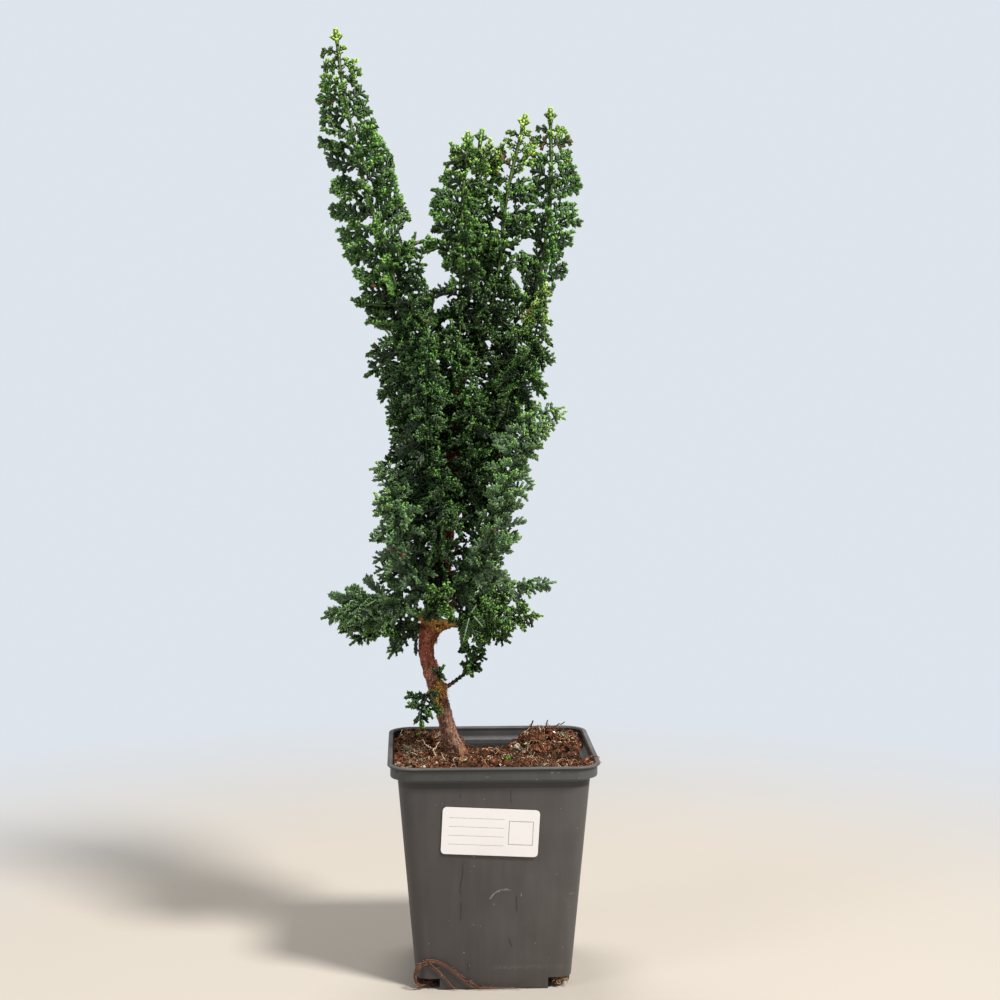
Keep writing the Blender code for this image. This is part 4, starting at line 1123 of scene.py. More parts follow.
def growTrunk():
    draw = random.Random(21)
    skin = newSkin()
    middle = smoothPath([p for p, _ in stem], wood["step"])
    middle = middle[middle[:, 2] > wood["soilFoot"]]
    radii = np.interp(middle[:, 2], [p[2] for p, _ in stem], [r for _, r in stem])
    height, spread, swell = wood["swell"]
    radii = radii + swell * np.exp(-((middle[:, 2] - height) / spread) ** 2)
    growWood(skin, middle, radii, wood["sides"], 31)
    clothed, slimness, share, width = wood["clothed"]
    limbs = []
    for name in names:
        fine = smoothPath(shoots[name][0], wood["limbStep"])
        limb = fine[:firstGreen(name, fine) + 3]
        if len(limb) < 4:
            continue
        slim = slimness if name == clothed else 1.0
        limbs.append((limb, slim * taper(limb, wood["limbFoot"], wood["limbTip"])))
    for *points, foot, tip in stubs + rootFlares:
        limb = smoothPath(points, 0.0005)
        limbs.append((limb, taper(limb, foot, tip)))
    for k, (limb, reach) in enumerate(limbs):
        sides = wood["stubSides"] if reach[0] > wood["stubFrom"] else wood["limbSides"]
        growWood(skin, limb, reach, sides, 50 + k, 0.75)

    # lifted flakes and old scale leaves, most of them on the stem that shows
    for k in range(wood["flakes"]):
        if k % 3:
            line, reach = middle, radii
            i = int((draw.random() ** 1.3) * len(line) * 0.62) + 14
        else:
            line, reach = limbs[draw.randrange(len(limbs))]
            i = draw.randrange(len(line))
        i = min(i, len(line) - 2)
        ahead = unit(line[i + 1] - line[i])
        out = unit(np.cross(ahead, unit(np.array([draw.gauss(0, 1) for _ in range(3)]))))
        across = np.cross(ahead, out)
        if draw.random() < 0.3:
            ahead = -ahead
        tone = wood[draw.choice(("brown", "brown", "grey", "brown", "pale", "dark"))]
        growFlake(skin, line[i] + out * reach[i], ahead, across, out, draw.uniform(0.0009, 0.0019),
                  draw.uniform(0.0006, 0.0012), np.array(tone) * draw.uniform(0.5, 1.1))
    for patch in tornBark:
        tearBark(skin, middle, radii, patch, draw)
    for number, *patch in tornStubs:
        tearBark(skin, *limbs[number - len(stubs + rootFlares)], patch, draw)

    # the twig at the knot is clothed in dead, dark scale leaves
    limb = smoothPath(shoots[clothed][0], 0.00125)
    limb = limb[:round(len(limb) * share)]
    width = np.full(len(limb), width)
    growScales(skin, limb, np.tile((0.2, 0.3, 0.9), (len(limb), 1)), width, width * 0.9, 0.5, (0, 0),
               (0, 0, 0), 1.0)
    # painted shade: the dead leaves are painted near black in the gaps between them, as on the green leaves
    skin["tone"][-1] = mixed(wood["deadLeaf"], wood["deadLeafGapShade"], skin["tone"][-1][:, 1:2])
    return skinObject("trunk_bark", skin, True)


# Soil: its relief is the source's own, with peat, fibres, crumbs, grains and moss on it
ground = {
    "level": 0.1122,
    "lumps": 0.0008,
    "heaps": [(0.031, 0.028, 0.0072, 0.0145), (-0.036, 0.02, 0.0036, 0.0173)],
    "bank": (-0.03, 0.0022, 0.0122),  # place in Y, height and spread
    "gullyX": 0.003,
    "gullyHalfWidth": 0.0135,
    "gullyFront": 0.026,
    "gullySlope": 0.0035,
    "gullyDepth": 0.01,
    "cells": 160,
    "depth": 0.06,  # the lowest part that is made
    "gap": 0.0003,
    "brimHalf": 0.0519,  # where the soil lies on the pot's ledge, up to the lip
    "brim": 0.1164,
    "sunk": 0.1085,  # its edge where it has shrunk from the wall
    "rightRise": 0.004,
    "rise": [(0.034, 0.036, 0.003, 0.0105), (-0.038, 0.044, 0.0032, 0.011),
             (-0.046, 0.01, 0.0012, 0.012)],
    "coarse": 0.00145,
    "lumpy": 0.0018,
    "fine": 0.00055,
    # how many, within what half width, and how far from the stem
    "clods": (210, 0.048, 0.0075),
    "crumbs": (1500, 0.0505, 0.0055),
    "fibres": (1000, 0.05, 0.0065),
    "fibreLength": (0.003, 0.013),
    "fibreRadius": (0.00012, 0.0003),
    "wisps": 90,
    "wispHeaps": ((0.034, 0.034), (-0.038, 0.04), (0.02, 0.03)),
    "strandFoot": 0.1168,  # where the strands over the rim start
    "strandReach": 0.0562,  # and where they are cut off, just past the lip
    "tuftHairs": 110,
    "edgeZone": 0.044,  # beyond it nothing lies over the gaps at the wall
    "brown": (0.1, 0.05, 0.029),
    "red": (0.178, 0.065, 0.034),
    "dark": (0.018, 0.009, 0.006),
    "straw": (0.72, 0.57, 0.39),
    "grain": (0.78, 0.69, 0.54),
    "fern": (0.2, 0.38, 0.045),
    "moss": (0.4, 0.35, 0.24),
    "lichen": (0.3, 0.34, 0.19),
    "orange": (0.5, 0.21, 0.1),
}
# the crumbs of the source, from the same random numbers
sourceCrumbs = {"count": 14, "seed": 11, "half": 0.043, "clear": 0.012, "smallest": 0.0014, "largest": 0.003}
# pale grains: place and radius
paleGrains = [
    (-0.0377, 0.04, 0.0011), (-0.0025, 0.0225, 0.0022), (-0.0051, 0.0165, 0.0012),
    (0.0151, 0.0155, 0.0021), (0.0081, 0.0065, 0.0012), (-0.0299, -0.001, 0.0011),
    (-0.0269, -0.011, 0.0012), (-0.0163, 0.005, 0.0014), (0.029, -0.018, 0.001),
    (0.0035, -0.026, 0.0011), (-0.006, -0.033, 0.0009), (0.022, -0.006, 0.0009)]
# seedlings
sprouts = [(-0.014, -0.008), (0.0084, -0.009), (-0.0394, 0.035)]
# strands that hang over the rim: place, direction and colour
rimStrands = [
    (0.05, -0.038, -0.5, "orange"), (0.0506, -0.03, 0.2, "red"), (0.049, -0.044, -1.0, "orange"),
    (0.051, -0.035, 0.0, "orange"), (0.047, -0.049, -1.4, "red"), (-0.05, -0.043, -2.6, "brown"),
    (-0.046, -0.048, -2.0, "moss"), (0.0508, -0.025, 0.4, "orange")]
# fuzzy clumps: place, spread and colour
mossTufts = [
    (-0.044, 0.015, 0.0024, "moss"), (-0.0455, 0.003, 0.0026, "moss"), (-0.043, -0.009, 0.0024, "moss"),
    (-0.038, 0.004, 0.002, "moss"), (-0.035, -0.01, 0.0018, "moss"), (-0.041, -0.018, 0.002, "moss"),
    (0.041, 0.025, 0.0016, "lichen"), (0.002, 0.008, 0.0016, "moss"), (0.018, 0.01, 0.0018, "moss"),
    (0.01, -0.002, 0.0014, "moss")]
# loose sticks: the points of each from the soil's surface, its radius and colour
sticks = [
    ([(-0.0396, 0.016, 0.0026), (-0.033, 0.003, 0.003), (-0.028, -0.009, 0.0028),
      (-0.0228, -0.0195, 0.0024)], 0.00034, "straw"),
    ([(-0.031, -0.002, 0.003), (-0.0295, 0.0005, 0.0045), (-0.0268, 0.004, 0.0075)], 0.0003, "straw"),
    ([(-0.0271, 0.0108, 0.001), (-0.0242, 0.016, 0.0022), (-0.0213, 0.023, 0.002)], 0.00055, "orange"),
    ([(0.0218, 0.03, -0.002), (0.0229, 0.03, 0.0028), (0.0246, 0.03, 0.0078)], 0.0006, "brown"),
    ([(0.032, 0.034, -0.001), (0.0324, 0.0345, 0.002), (0.033, 0.035, 0.0042)], 0.0005, "brown"),
    ([(0.0352, 0.034, 0.0004), (0.0385, 0.035, 0.0024), (0.0425, 0.035, 0.0052)], 0.00042, "brown"),
    ([(-0.0385, 0.02, -0.001), (-0.04, 0.02, 0.004), (-0.0416, 0.02, 0.0085)], 0.00055, "brown")]


def heaped(height, x, y, heaps):
    for heapX, heapY, rise, spread in heaps:
        height = height + rise * np.exp(-((x - heapX) ** 2 + (y - heapY) ** 2) / (2 * spread ** 2))
    return height


def groundHeight(x, y):
    height = ground["level"] + ground["lumps"] * np.sin(x * 410 + 1.0) * np.cos(y * 370)
    height = heaped(height, x, y, ground["heaps"])
    bankY, bankHeight, bankSpread = ground["bank"]
    height = height + bankHeight * np.exp(-(y - bankY) ** 2 / (2 * bankSpread ** 2))
    behind = 1 / (1 + np.exp((ground["gullyFront"] - y) / ground["gullySlope"]))
    across = ((x - ground["gullyX"]) / ground["gullyHalfWidth"]) ** 4
    return height - ground["gullyDepth"] * behind * np.exp(-across)


def squareToPot(u, v, half, corner):
    # a square's points (-1..1) laid onto the pot's rounded square
    x, y = u * half, v * half
    level = np.maximum(np.maximum(np.abs(u), np.abs(v)), 1e-9)
    rimX, rimY = x / level, y / level
    core = half - corner
    offX, offY = np.abs(rimX) - core, np.abs(rimY) - core
    inCorner = (offX > 0) & (offY > 0)
    length = np.maximum(np.hypot(offX, offY), 1e-9)
    newX = np.where(inCorner, np.sign(rimX) * (core + offX / length * corner), rimX)
    newY = np.where(inCorner, np.sign(rimY) * (core + offY / length * corner), rimY)
    return newX * level, newY * level


def ease(value, low, high):
    share = np.clip((value - low) / (high - low), 0, 1)
    return share * share * (3 - 2 * share)


def shrunk(x, y):
    # 1 where the soil has drawn back from the wall: at the right and behind the gully
    right = ease(x, 0.03, 0.04) * ease(y, -0.032, -0.022) * (1 - ease(y, -0.002, 0.032))
    back = ease(y, 0.03, 0.04) * (1 - ease(np.abs(x - ground["gullyX"] + 0.001), 0.013, 0.018))
    return np.maximum(right, back)


def peatHeight(x, y):
    # height of the peat's skin, and three noises that also colour it
    flat = np.stack([x, y, np.zeros_like(x)], axis=-1).reshape(-1, 3)
    coarse, lumps, fine = [latticeNoise(flat / size, 3 + k).reshape(np.shape(x))
                           for k, size in enumerate((0.0056, 0.0023, 0.001))]
    height = heaped(groundHeight(x, y), x, y, ground["rise"])
    out = np.maximum(np.abs(x), np.abs(y)) / ground["brimHalf"]
    low = shrunk(x, y)
    brim = ground["brim"] + 0.0012 * coarse
    height = height + (brim - height) * ease(out, 0.8, 0.95) * (1 - low) * (height < brim)
    sunk = ground["sunk"] + ground["rightRise"] * ease(x, 0.03, 0.04)
    height = height + (sunk - height) * ease(out, 0.885, 0.94) * low
    relief = ground["coarse"] * coarse + ground["lumpy"] * (np.abs(lumps) - 0.25) + ground["fine"] * fine
    return height + relief * (1 - ease(out, 0.93, 1.0)), coarse, lumps, fine


def surfaceAt(x, y):
    return float(peatHeight(np.array([x]), np.array([y]))[0][0])


def freeOfStem(x, y, clear):
    stemX, stemY = stem[2][0][:2]
    return math.hypot(x - stemX, y - stemY) > clear


def openPlace(draw, limit):
    # a place on the soil that isn't over one of the gaps at the wall
    while True:
        x, y = draw.uniform(-limit, limit), draw.uniform(-limit, limit)
        edge = max(abs(x), abs(y)) > ground["edgeZone"]
        if not edge or shrunk(np.array([x]), np.array([y]))[0] < 0.3:
            return x, y


def layPeat(skin):
    # the heaped skin of the soil, its sides and its underside
    corner = pot["cornerRadius"] - pot["wall"] + pot["collarHalf"] - pot["wallTopHalf"]
    n = ground["cells"]
    line = np.linspace(-1, 1, n + 1)
    u, v = [a.ravel() for a in np.meshgrid(line, line)]
    x, y = squareToPot(u, v, ground["brimHalf"], corner)
    inner = innerHalf(ground["sunk"] + 0.004) - ground["gap"]
    over = np.maximum(np.maximum(np.abs(x), np.abs(y)) / inner, 1.0)
    pull = 1 + (1 / over - 1) * shrunk(x, y)  # where the soil has shrunk its edge stays inside the wall
    x, y = x * pull, y * pull
    height, coarse, lumps, fine = peatHeight(x, y)
    top = np.stack([x, y, height], axis=1)
    flat = np.stack([x, y, np.zeros_like(x)], axis=1)
    shade = 0.34 + 0.7 * fine + 1.5 * (np.abs(lumps) - 0.22) + 0.5 * coarse
    redness = np.clip(0.5 + latticeNoise(flat / 0.004, 6), 0, 1)[:, None]
    tone = mixed(ground["brown"], ground["red"], redness) * np.clip(shade, 0.03, 1.5)[:, None]
    tone = np.array(ground["dark"]) * 0.6 + tone

    i = (np.arange(n)[:, None] * (n + 1) + np.arange(n)).ravel()
    faces = [triangles(i, i + 1, i + n + 2), triangles(i, i + n + 2, i + n + 1)]
    k = np.arange(n)
    rim = np.concatenate([k, k * (n + 1) + n, n * (n + 1) + n - k, (n - k) * (n + 1)])
    below = []
    for z in (0.1126, ground["depth"] + 0.03, ground["depth"]):
        half = innerHalf(min(z, ground["sunk"] - 0.002)) - 3 * ground["gap"]
        edgeX, edgeY = squareToPot(u[rim], v[rim], half, pot["cornerRadius"] + 0.0015)
        below.append(np.stack([edgeX, edgeY, np.minimum(height[rim] - 0.001, z)], axis=1))
    count = len(rim)
    d = (np.arange(count) + 1) % count
    levels = [rim, *[len(top) + level * count + np.arange(count) for level in range(3)]]
    for upper, lower in zip(levels, levels[1:]):
        faces += [triangles(lower, lower[d], upper[d]), triangles(lower, upper[d], upper)]
    faces.append(triangles(levels[3][d], levels[3], len(top) + 3 * count))
    points = np.concatenate([top, *below, [(0, 0, ground["depth"])]])
    dark = np.tile(np.array(ground["brown"]) * 0.5, (3 * count + 1, 1))
    addPart(skin, points, np.concatenate(faces), np.concatenate([tone, dark]))


def scatterCrumbs(skin, draw):
    spots = random.Random(sourceCrumbs["seed"])
    made = 0
    while made < sourceCrumbs["count"]:
        x = spots.uniform(-sourceCrumbs["half"], sourceCrumbs["half"])
        y = spots.uniform(-sourceCrumbs["half"], sourceCrumbs["half"])
        if freeOfStem(x, y, sourceCrumbs["clear"]):
            size = spots.uniform(sourceCrumbs["smallest"], sourceCrumbs["largest"])
            for _ in lumpPoints:
                spots.uniform(0.75, 1.2)  # the source draws one for each corner
            tone = ground[("brown", "red", "moss")[made % 3]]
            growClod(skin, (x, y, surfaceAt(x, y) + 0.0002), size, tone, draw)
            made += 1
    count, within, clear = ground["clods"]
    for _ in range(count):
        x, y = openPlace(draw, within)
        if freeOfStem(x, y, clear):
            size = 0.0009 + 0.0015 * draw.random() ** 1.6
            kind = draw.choices(("brown", "red", "dark", "moss"), (38, 34, 22, 5))[0]
            growClod(skin, (x, y, surfaceAt(x, y) + 0.1 * size), size, ground[kind], draw)
    kinds = ("brown", "red", "dark", "straw", "grain", "orange")
    count, within, clear = ground["crumbs"]
    for _ in range(count):
        x, y = openPlace(draw, within)
        if freeOfStem(x, y, clear):
            size = 0.00035 + 0.001 * draw.random() ** 2.5
            kind = draw.choices(kinds, (28, 26, 24, 10, 8, 4))[0]
            growLump(skin, (x, y, surfaceAt(x, y) + draw.uniform(0.0, 0.0009)), size, ground[kind], draw)
    for x, y, size in paleGrains:
        growClod(skin, (x, y, surfaceAt(x, y) + 0.6 * size), size, ground["grain"], draw)


def scatterFibres(skin, draw):
    count, within, clear = ground["fibres"]
    for _ in range(count):
        x, y = openPlace(draw, within)
        length = draw.uniform(*ground["fibreLength"])
        line = wander(draw, (x, y), draw.uniform(0, 2 * math.pi), length, 0.0011, 140)
        if np.abs(line).max() > 0.0515 or not freeOfStem(x, y, clear):
            continue
        lift = draw.uniform(0.0003, 0.0014)
        lift = lift + 0.0032 * draw.random() ** 2 * np.sin(taper(line, 0, math.pi))
        z = peatHeight(line[:, 0], line[:, 1])[0] + lift
        kind = draw.choices(("red", "brown", "straw", "orange", "dark"), (38, 26, 8, 12, 16))[0]
        radii = taper(line, 1.0, 0.45) * draw.uniform(*ground["fibreRadius"])
        tone = np.array(ground[kind]) * draw.uniform(0.6, 1.2)
        growTube(skin, np.column_stack([line, z]), radii, 3, tone)

    for _ in range(ground["wisps"]):  # upright, on the heaps
        heap = draw.choice(ground["wispHeaps"])
        x, y = heap[0] + draw.gauss(0, 0.007), min(0.048, heap[1] + draw.gauss(0, 0.006))
        if abs(x) > 0.049:
            continue
        foot = np.array([x, y, surfaceAt(x, y) - 0.0004])
        tip = foot + np.array([draw.gauss(0, 0.0018), draw.gauss(0, 0.0012), draw.uniform(0.0012, 0.0042)])
        bend = (foot + tip) / 2 + np.array([draw.gauss(0, 0.0006), 0, draw.uniform(0, 0.0006)])
        line = smoothPath([foot, bend, tip], 0.0008)
        growTube(skin, line, taper(line, 0.00022, 0.0001), 3,
                 np.array(ground[draw.choice(("red", "brown", "orange", "straw"))]) * 0.9)

    for x, y, turn, kind in [strand for strand in rimStrands for _ in range(2)]:
        way = turn + draw.gauss(0, 0.22)
        ahead = np.array([math.cos(way), math.sin(way), 0.0])
        foot = np.array([x, y, ground["strandFoot"]]) - ahead * 0.0035
        foot = foot + [draw.gauss(0, 0.0007), draw.gauss(0, 0.0007), 0]
        bow = draw.uniform(0.45, 1.0)
        line = smoothPath([foot, *[foot + ahead * far + (0, 0, high * bow) for far, high
                                   in ((0.003, 0.003), (0.0058, 0.0036), (0.0082, 0.0024))]], 0.0008)
        line = line[np.abs(line[:, :2]).max(axis=1) < ground["strandReach"]]
        growTube(skin, line, taper(line, 0.00036, 0.00016), 4,
                 np.array(ground[kind]) * draw.uniform(0.7, 1.15))

    for points, radius, kind in sticks:
        line = smoothPath(points, 0.0012)
        line[:, 2] += peatHeight(line[:, 0], line[:, 1])[0].clip(0.112) + 0.0004
        radii = radius * taper(line, 1.0, 0.6)
        radii = radii * (1 + 0.18 * latticeNoise(line / 0.0016, 9))
        growTube(skin, line, radii, 7, np.array(ground[kind]) * 0.85)


def growMoss(skin, draw):
    # pale fuzz and a few seedlings
    for middleX, middleY, spread, kind in mossTufts:
        growClod(skin, (middleX, middleY, surfaceAt(middleX, middleY)), spread * 0.8,
                 np.array(ground[kind]) * 0.6, draw)
        for _ in range(ground["tuftHairs"]):
            x, y = middleX + draw.gauss(0, spread), middleY + draw.gauss(0, spread)
            if max(abs(x), abs(y)) > 0.05:
                continue
            foot = np.array([x, y, surfaceAt(x, y) + 0.0003])
            tip = foot + [draw.gauss(0, 0.0009), draw.gauss(0, 0.0009), draw.uniform(0.0004, 0.0016)]
            tone = np.array(ground[draw.choice((kind, kind, "brown", "straw"))]) * draw.uniform(0.5, 1.3)
            growTube(skin, np.array([foot, (foot + tip) / 2, tip]), (0.00024, 0.00022, 0.0001), 3, tone)
    for x, y in sprouts:
        foot = np.array([x, y, surfaceAt(x, y)])
        for k in range(5):
            turn = k * 2.4 + x * 100
            lean = np.array([math.cos(turn), math.sin(turn), 1.1])
            tip = foot + lean * (0.0018 + 0.0004 * (k % 2))
            line = smoothPath([foot, foot + lean * 0.0011, tip], 0.0006)
            growTube(skin, line, taper(line, 0.0002, 0.0006), 5, np.array(ground["fern"]), flat=0.4)


def growSoil():
    draw = random.Random(8)
    skin = newSkin()
    layPeat(skin)
    scatterCrumbs(skin, draw)
    scatterFibres(skin, draw)
    growMoss(skin, draw)
    return skinObject("soil_peat", skin, False)


# Pot: the source's shape with finer corners and edges
pot = {
    "height": 0.12,
    "lipHalf": 0.055,
    "collarHalf": 0.0535,
    "collarHeight": 0.0072,
    "ledgeLow": 0.0006,
    "ledgeHigh": 0.0022,
    "wallTopHalf": 0.0498,
    "wallFootHalf": 0.0402,
    "wall": 0.0012,
    "lipThick": 0.0011,
    "edgeRound": 0.0004,
    "cornerRadius": 0.009,
    "footCornerRadius": 0.007,
    "notchSide": 0.012,
    "notchHeight": 0.006,
    "drainSide": 0.007,
    "cornerSteps": 12,
    "sideSteps": 8,
    "wallRings": 7,
    "bow": 0.00035,  # how far the middle of a wall bends in
}


def innerHalf(z):
    share = (z - pot["wall"]) / (pot["height"] - pot["collarHeight"] + pot["ledgeLow"] - pot["wall"])
    return (pot["wallFootHalf"] - pot["wall"]) + (pot["wallTopHalf"] - pot["wallFootHalf"]) * share


quarters = ((1, 1), (-1, 1), (-1, -1), (1, -1))  # the corners in the order of a ring


def squareRing(half, corner, z, bow=0.0):
    # a rounded square, the middle of each side bent in by bow
    core = half - corner
    ring = []
    for quarter, (sx, sy) in enumerate(quarters):
        for step in range(pot["cornerSteps"] + 1):
            turn = math.radians(90) * (quarter + step / pot["cornerSteps"])
            ring.append((sx * core + corner * math.cos(turn), sy * core + corner * math.sin(turn), z))
        fromX, fromY, _ = ring[-1]  # the straight stretch to the next corner
        turn = math.radians(90) * (quarter + 1)
        outX, outY = math.cos(turn), math.sin(turn)
        sx, sy = quarters[(quarter + 1) % 4]
        runX, runY = sx * core + corner * outX - fromX, sy * core + corner * outY - fromY
        for k in range(1, pot["sideSteps"]):
            share = k / pot["sideSteps"]
            push = bow * math.sin(math.pi * share) ** 2
            ring.append((fromX + runX * share - push * outX, fromY + runY * share - push * outY, z))
    return ring


def loftedSolid(name, rings):
    count = len(rings[0])
    faces = []
    for k in range(len(rings) - 1):
        for c in range(count):
            a, b = k * count + c, k * count + (c + 1) % count
            faces.append((a, b, b + count, a + count))
    faces.append(tuple(range(count - 1, -1, -1)))
    faces.append(tuple((len(rings) - 1) * count + c for c in range(count)))
    mesh = bpy.data.meshes.new(name)
    mesh.from_pydata([p for ring in rings for p in ring], [], faces)
    solid = bpy.data.objects.new(name, mesh)
    scene.collection.objects.link(solid)
    return solid


def cornerBoxes(near, far, low, high):
    # a box at each of the pot's corners
    boxes = []
    for sx, sy in ((-1, -1), (-1, 1), (1, -1), (1, 1)):
        (x, farX), (y, farY) = sorted((sx * near, sx * far)), sorted((sy * near, sy * far))
        boxes.append(loftedSolid("cut", [[(x, y, z), (farX, y, z), (farX, farY, z), (x, farY, z)]
                                         for z in (low, high)]))
    return boxes


def cutAway(solid, cutters):
    for cutter in cutters:
        step = solid.modifiers.new("cut", "BOOLEAN")
        step.operation = "DIFFERENCE"
        step.solver = "EXACT"
        step.object = cutter
    deps = bpy.context.evaluated_depsgraph_get()
    shape = bpy.data.meshes.new_from_object(solid.evaluated_get(deps))
    solid.modifiers.clear()
    solid.data = shape
    for cutter in cutters:
        bpy.data.objects.remove(cutter)


def growPot():
    r, wall, top = pot["edgeRound"], pot["wall"], pot["height"]
    foot, wallTop, collar, lip = pot["wallFootHalf"], pot["wallTopHalf"], pot["collarHalf"], pot["lipHalf"]
    footCorner, cornerGain = pot["footCornerRadius"], pot["cornerRadius"] - pot["footCornerRadius"]
    collarFoot = top - pot["collarHeight"]
    lipFoot = top - pot["lipThick"]
    shares = [k / pot["wallRings"] for k in range(pot["wallRings"] + 1)]

    def bowAt(z):
        return pot["bow"] * math.sin(math.pi * min(1.0, z / collarFoot))

    # the outside: half width and height, from the foot over the collar to the lip
    outer = [(foot - 2 * r, 0.0), (foot - 0.6 * r, 0.6 * r)]
    outer += [(foot + (wallTop - foot) * share, 2 * r + (collarFoot - 2 * r) * share) for share in shares]
    outer += [(collar - 2 * r, collarFoot + r * 0.4), (collar - 0.7 * r, collarFoot + r * 0.9),
              (collar, collarFoot + 2.4 * r), (collar, lipFoot - 1.6 * r),
              (collar + 0.4 * r, lipFoot - 0.6 * r), (lip - 0.5 * r, lipFoot), (lip, lipFoot + 0.5 * r),
              (lip, top - r), (lip - 0.3 * r, top - 0.3 * r), (lip - r, top)]
    rings = []
    for half, z in outer:
        corner = footCorner + cornerGain * min(1.0, z / collarFoot)
        rings.append(squareRing(half, corner + (half - wallTop if z > collarFoot else 0), z, bowAt(z)))
    shell = loftedSolid("pot_shell", rings)

    # the hollow inside it
    hollow = []
    for share in shares:
        z = wall + (collarFoot + pot["ledgeLow"] - wall) * share
        half = foot - wall + (wallTop - foot) * share
        hollow.append(squareRing(half, footCorner - wall + cornerGain * share, z, bowAt(z)))
    corner = (pot["cornerRadius"] - wall) + (collar - wallTop)
    for push, z in ((0, collarFoot + pot["ledgeHigh"]), (0, top - 2 * r), (r, top - 0.6 * r),
                    (2 * r, top + 0.002)):
        hollow.append(squareRing(collar - wall + push, corner + push, z))
    inside = loftedSolid("inside", hollow)

    # the raised corners of the foot, and the drain hole in each
    near = foot - pot["notchSide"]
    cutAway(inside, cornerBoxes(near - wall, lip, -0.01, pot["notchHeight"] + wall))
    notches = cornerBoxes(near, lip, -0.01, pot["notchHeight"])
    middle, reach = foot - pot["notchSide"] / 2, pot["drainSide"] / 2
    drains = cornerBoxes(middle - reach, middle + reach, -0.01, 0.02)
    cutAway(shell, notches + [inside] + drains)
    shell.data.shade_smooth()
    shell.data.set_sharp_from_angle(angle=math.radians(32))
    return shell


# Roots that have grown out of the drain holes
roots = {
    "radius": 0.00056,
    "sides": 9,
    "step": 0.0006,
    "orange": (0.21, 0.072, 0.034),
    "brown": (0.1, 0.038, 0.022),
    "pale": (0.38, 0.22, 0.12),
    # tangles: middle of the box, its half size, strands, colour
    "tangles": [((-0.0352, -0.0345, 0.0032), (0.0042, 0.0045, 0.0024), 46, "brown"),
                ((0.0345, -0.035, 0.004), (0.004, 0.0042, 0.002), 30, "pale")],
}
looseRoot = [
    (-0.033, -0.0345, 0.0032), (-0.0375, -0.0395, 0.0022), (-0.0408, -0.0418, 0.005),
    (-0.0412, -0.0424, 0.0105), (-0.0375, -0.0427, 0.015), (-0.031, -0.0427, 0.0158),
    (-0.024, -0.0423, 0.0125), (-0.017, -0.0418, 0.0065), (-0.011, -0.0415, 0.0016),
    (-0.002, -0.0417, 0.0012)]
thinRoots = [
    ([(-0.0335, -0.043, 0.0152), (-0.03, -0.0424, 0.0118), (-0.0261, -0.0419, 0.0076),
      (-0.0215, -0.0417, 0.002), (-0.019, -0.0425, 0.0008)], 0.00042),
    ([(-0.015, -0.0418, 0.005), (-0.012, -0.0424, 0.0046), (-0.0085, -0.0421, 0.002),
      (-0.006, -0.0426, 0.0008)], 0.0003),
    ([(-0.003, -0.0418, 0.0011), (0.0031, -0.042, 0.0012), (0.0085, -0.0417, 0.0008),
      (0.014, -0.0422, 0.0009)], 0.0003),
    ([(-0.0345, -0.035, 0.004), (-0.0385, -0.0375, 0.0012), (-0.042, -0.039, 0.0007),
      (-0.044, -0.036, 0.0006)], 0.00035),
    ([(-0.0412, -0.043, 0.0085), (-0.0392, -0.0436, 0.0138), (-0.033, -0.0433, 0.017),
      (-0.0262, -0.0428, 0.0148), (-0.02, -0.0424, 0.0102), (-0.015, -0.0422, 0.0066)], 0.0003),
    ([(-0.0404, -0.042, 0.004), (-0.04, -0.043, 0.0108), (-0.0352, -0.0428, 0.0142),
      (-0.0318, -0.0424, 0.0128)], 0.00026),
    ([(-0.0133, -0.0415, 0.0142), (-0.0127, -0.0418, 0.0128), (-0.0129, -0.0417, 0.0112)], 0.00028)]


def growRoots():
    draw = random.Random(14)
    skin = newSkin()
    for k, (points, radius) in enumerate([(looseRoot, roots["radius"]), *thinRoots]):
        line = smoothPath(points, roots["step"])
        radii = radius * taper(line, 1.0, 0.55) * (1 + 0.16 * latticeNoise(line / 0.0018, 40 + k))
        line[:, 2] = np.maximum(line[:, 2], radii * 1.25)
        shade = 0.5 + 0.5 * latticeNoise(line / 0.0034, 60 + k)
        tone = mixed(roots["brown"], roots["orange"], shade[:, None])
        tone = np.repeat(tone[:, None], roots["sides"], axis=1)
        growTube(skin, line, radii, roots["sides"], tone)
        for _ in range(len(line) // 4):  # fine hairs
            i = draw.randrange(2, len(line) - 2)
            away = unit(np.array([draw.gauss(0, 1), -abs(draw.gauss(0, 0.6)), draw.gauss(0, 0.8)]))
            tip = line[i] + away * draw.uniform(0.0007, 0.0022)
            tip[2] = max(tip[2], 0.0004)
            hair = smoothPath([line[i], (line[i] + tip) / 2 + (0, 0, 0.0003), tip], 0.0005)
            growTube(skin, hair, taper(hair, 0.00012, 0.00006), 3, np.array(roots["pale"]))
    for middle, half, strands, kind in roots["tangles"]:
        for _ in range(strands):
            foot = np.array([m + draw.uniform(-h, h) for m, h in zip(middle, half)])
            points = [foot]
            for _ in range(4):
                step = np.array([draw.gauss(0, 0.0014), draw.gauss(0, 0.0014), draw.gauss(0, 0.0008)])
                points.append(np.clip(points[-1] + step, np.array(middle) - half, np.array(middle) + half))
            line = smoothPath(points, 0.0005)
            radii = taper(line, 0.0002, 0.0001) * draw.uniform(0.7, 1.5)
            line[:, 2] = np.maximum(line[:, 2], radii * 1.3)
            growTube(skin, line, radii, 4, np.array(roots[kind]) * draw.uniform(0.6, 1.3))
    return skinObject("root_strands", skin, True)


# Effects that several finishes share

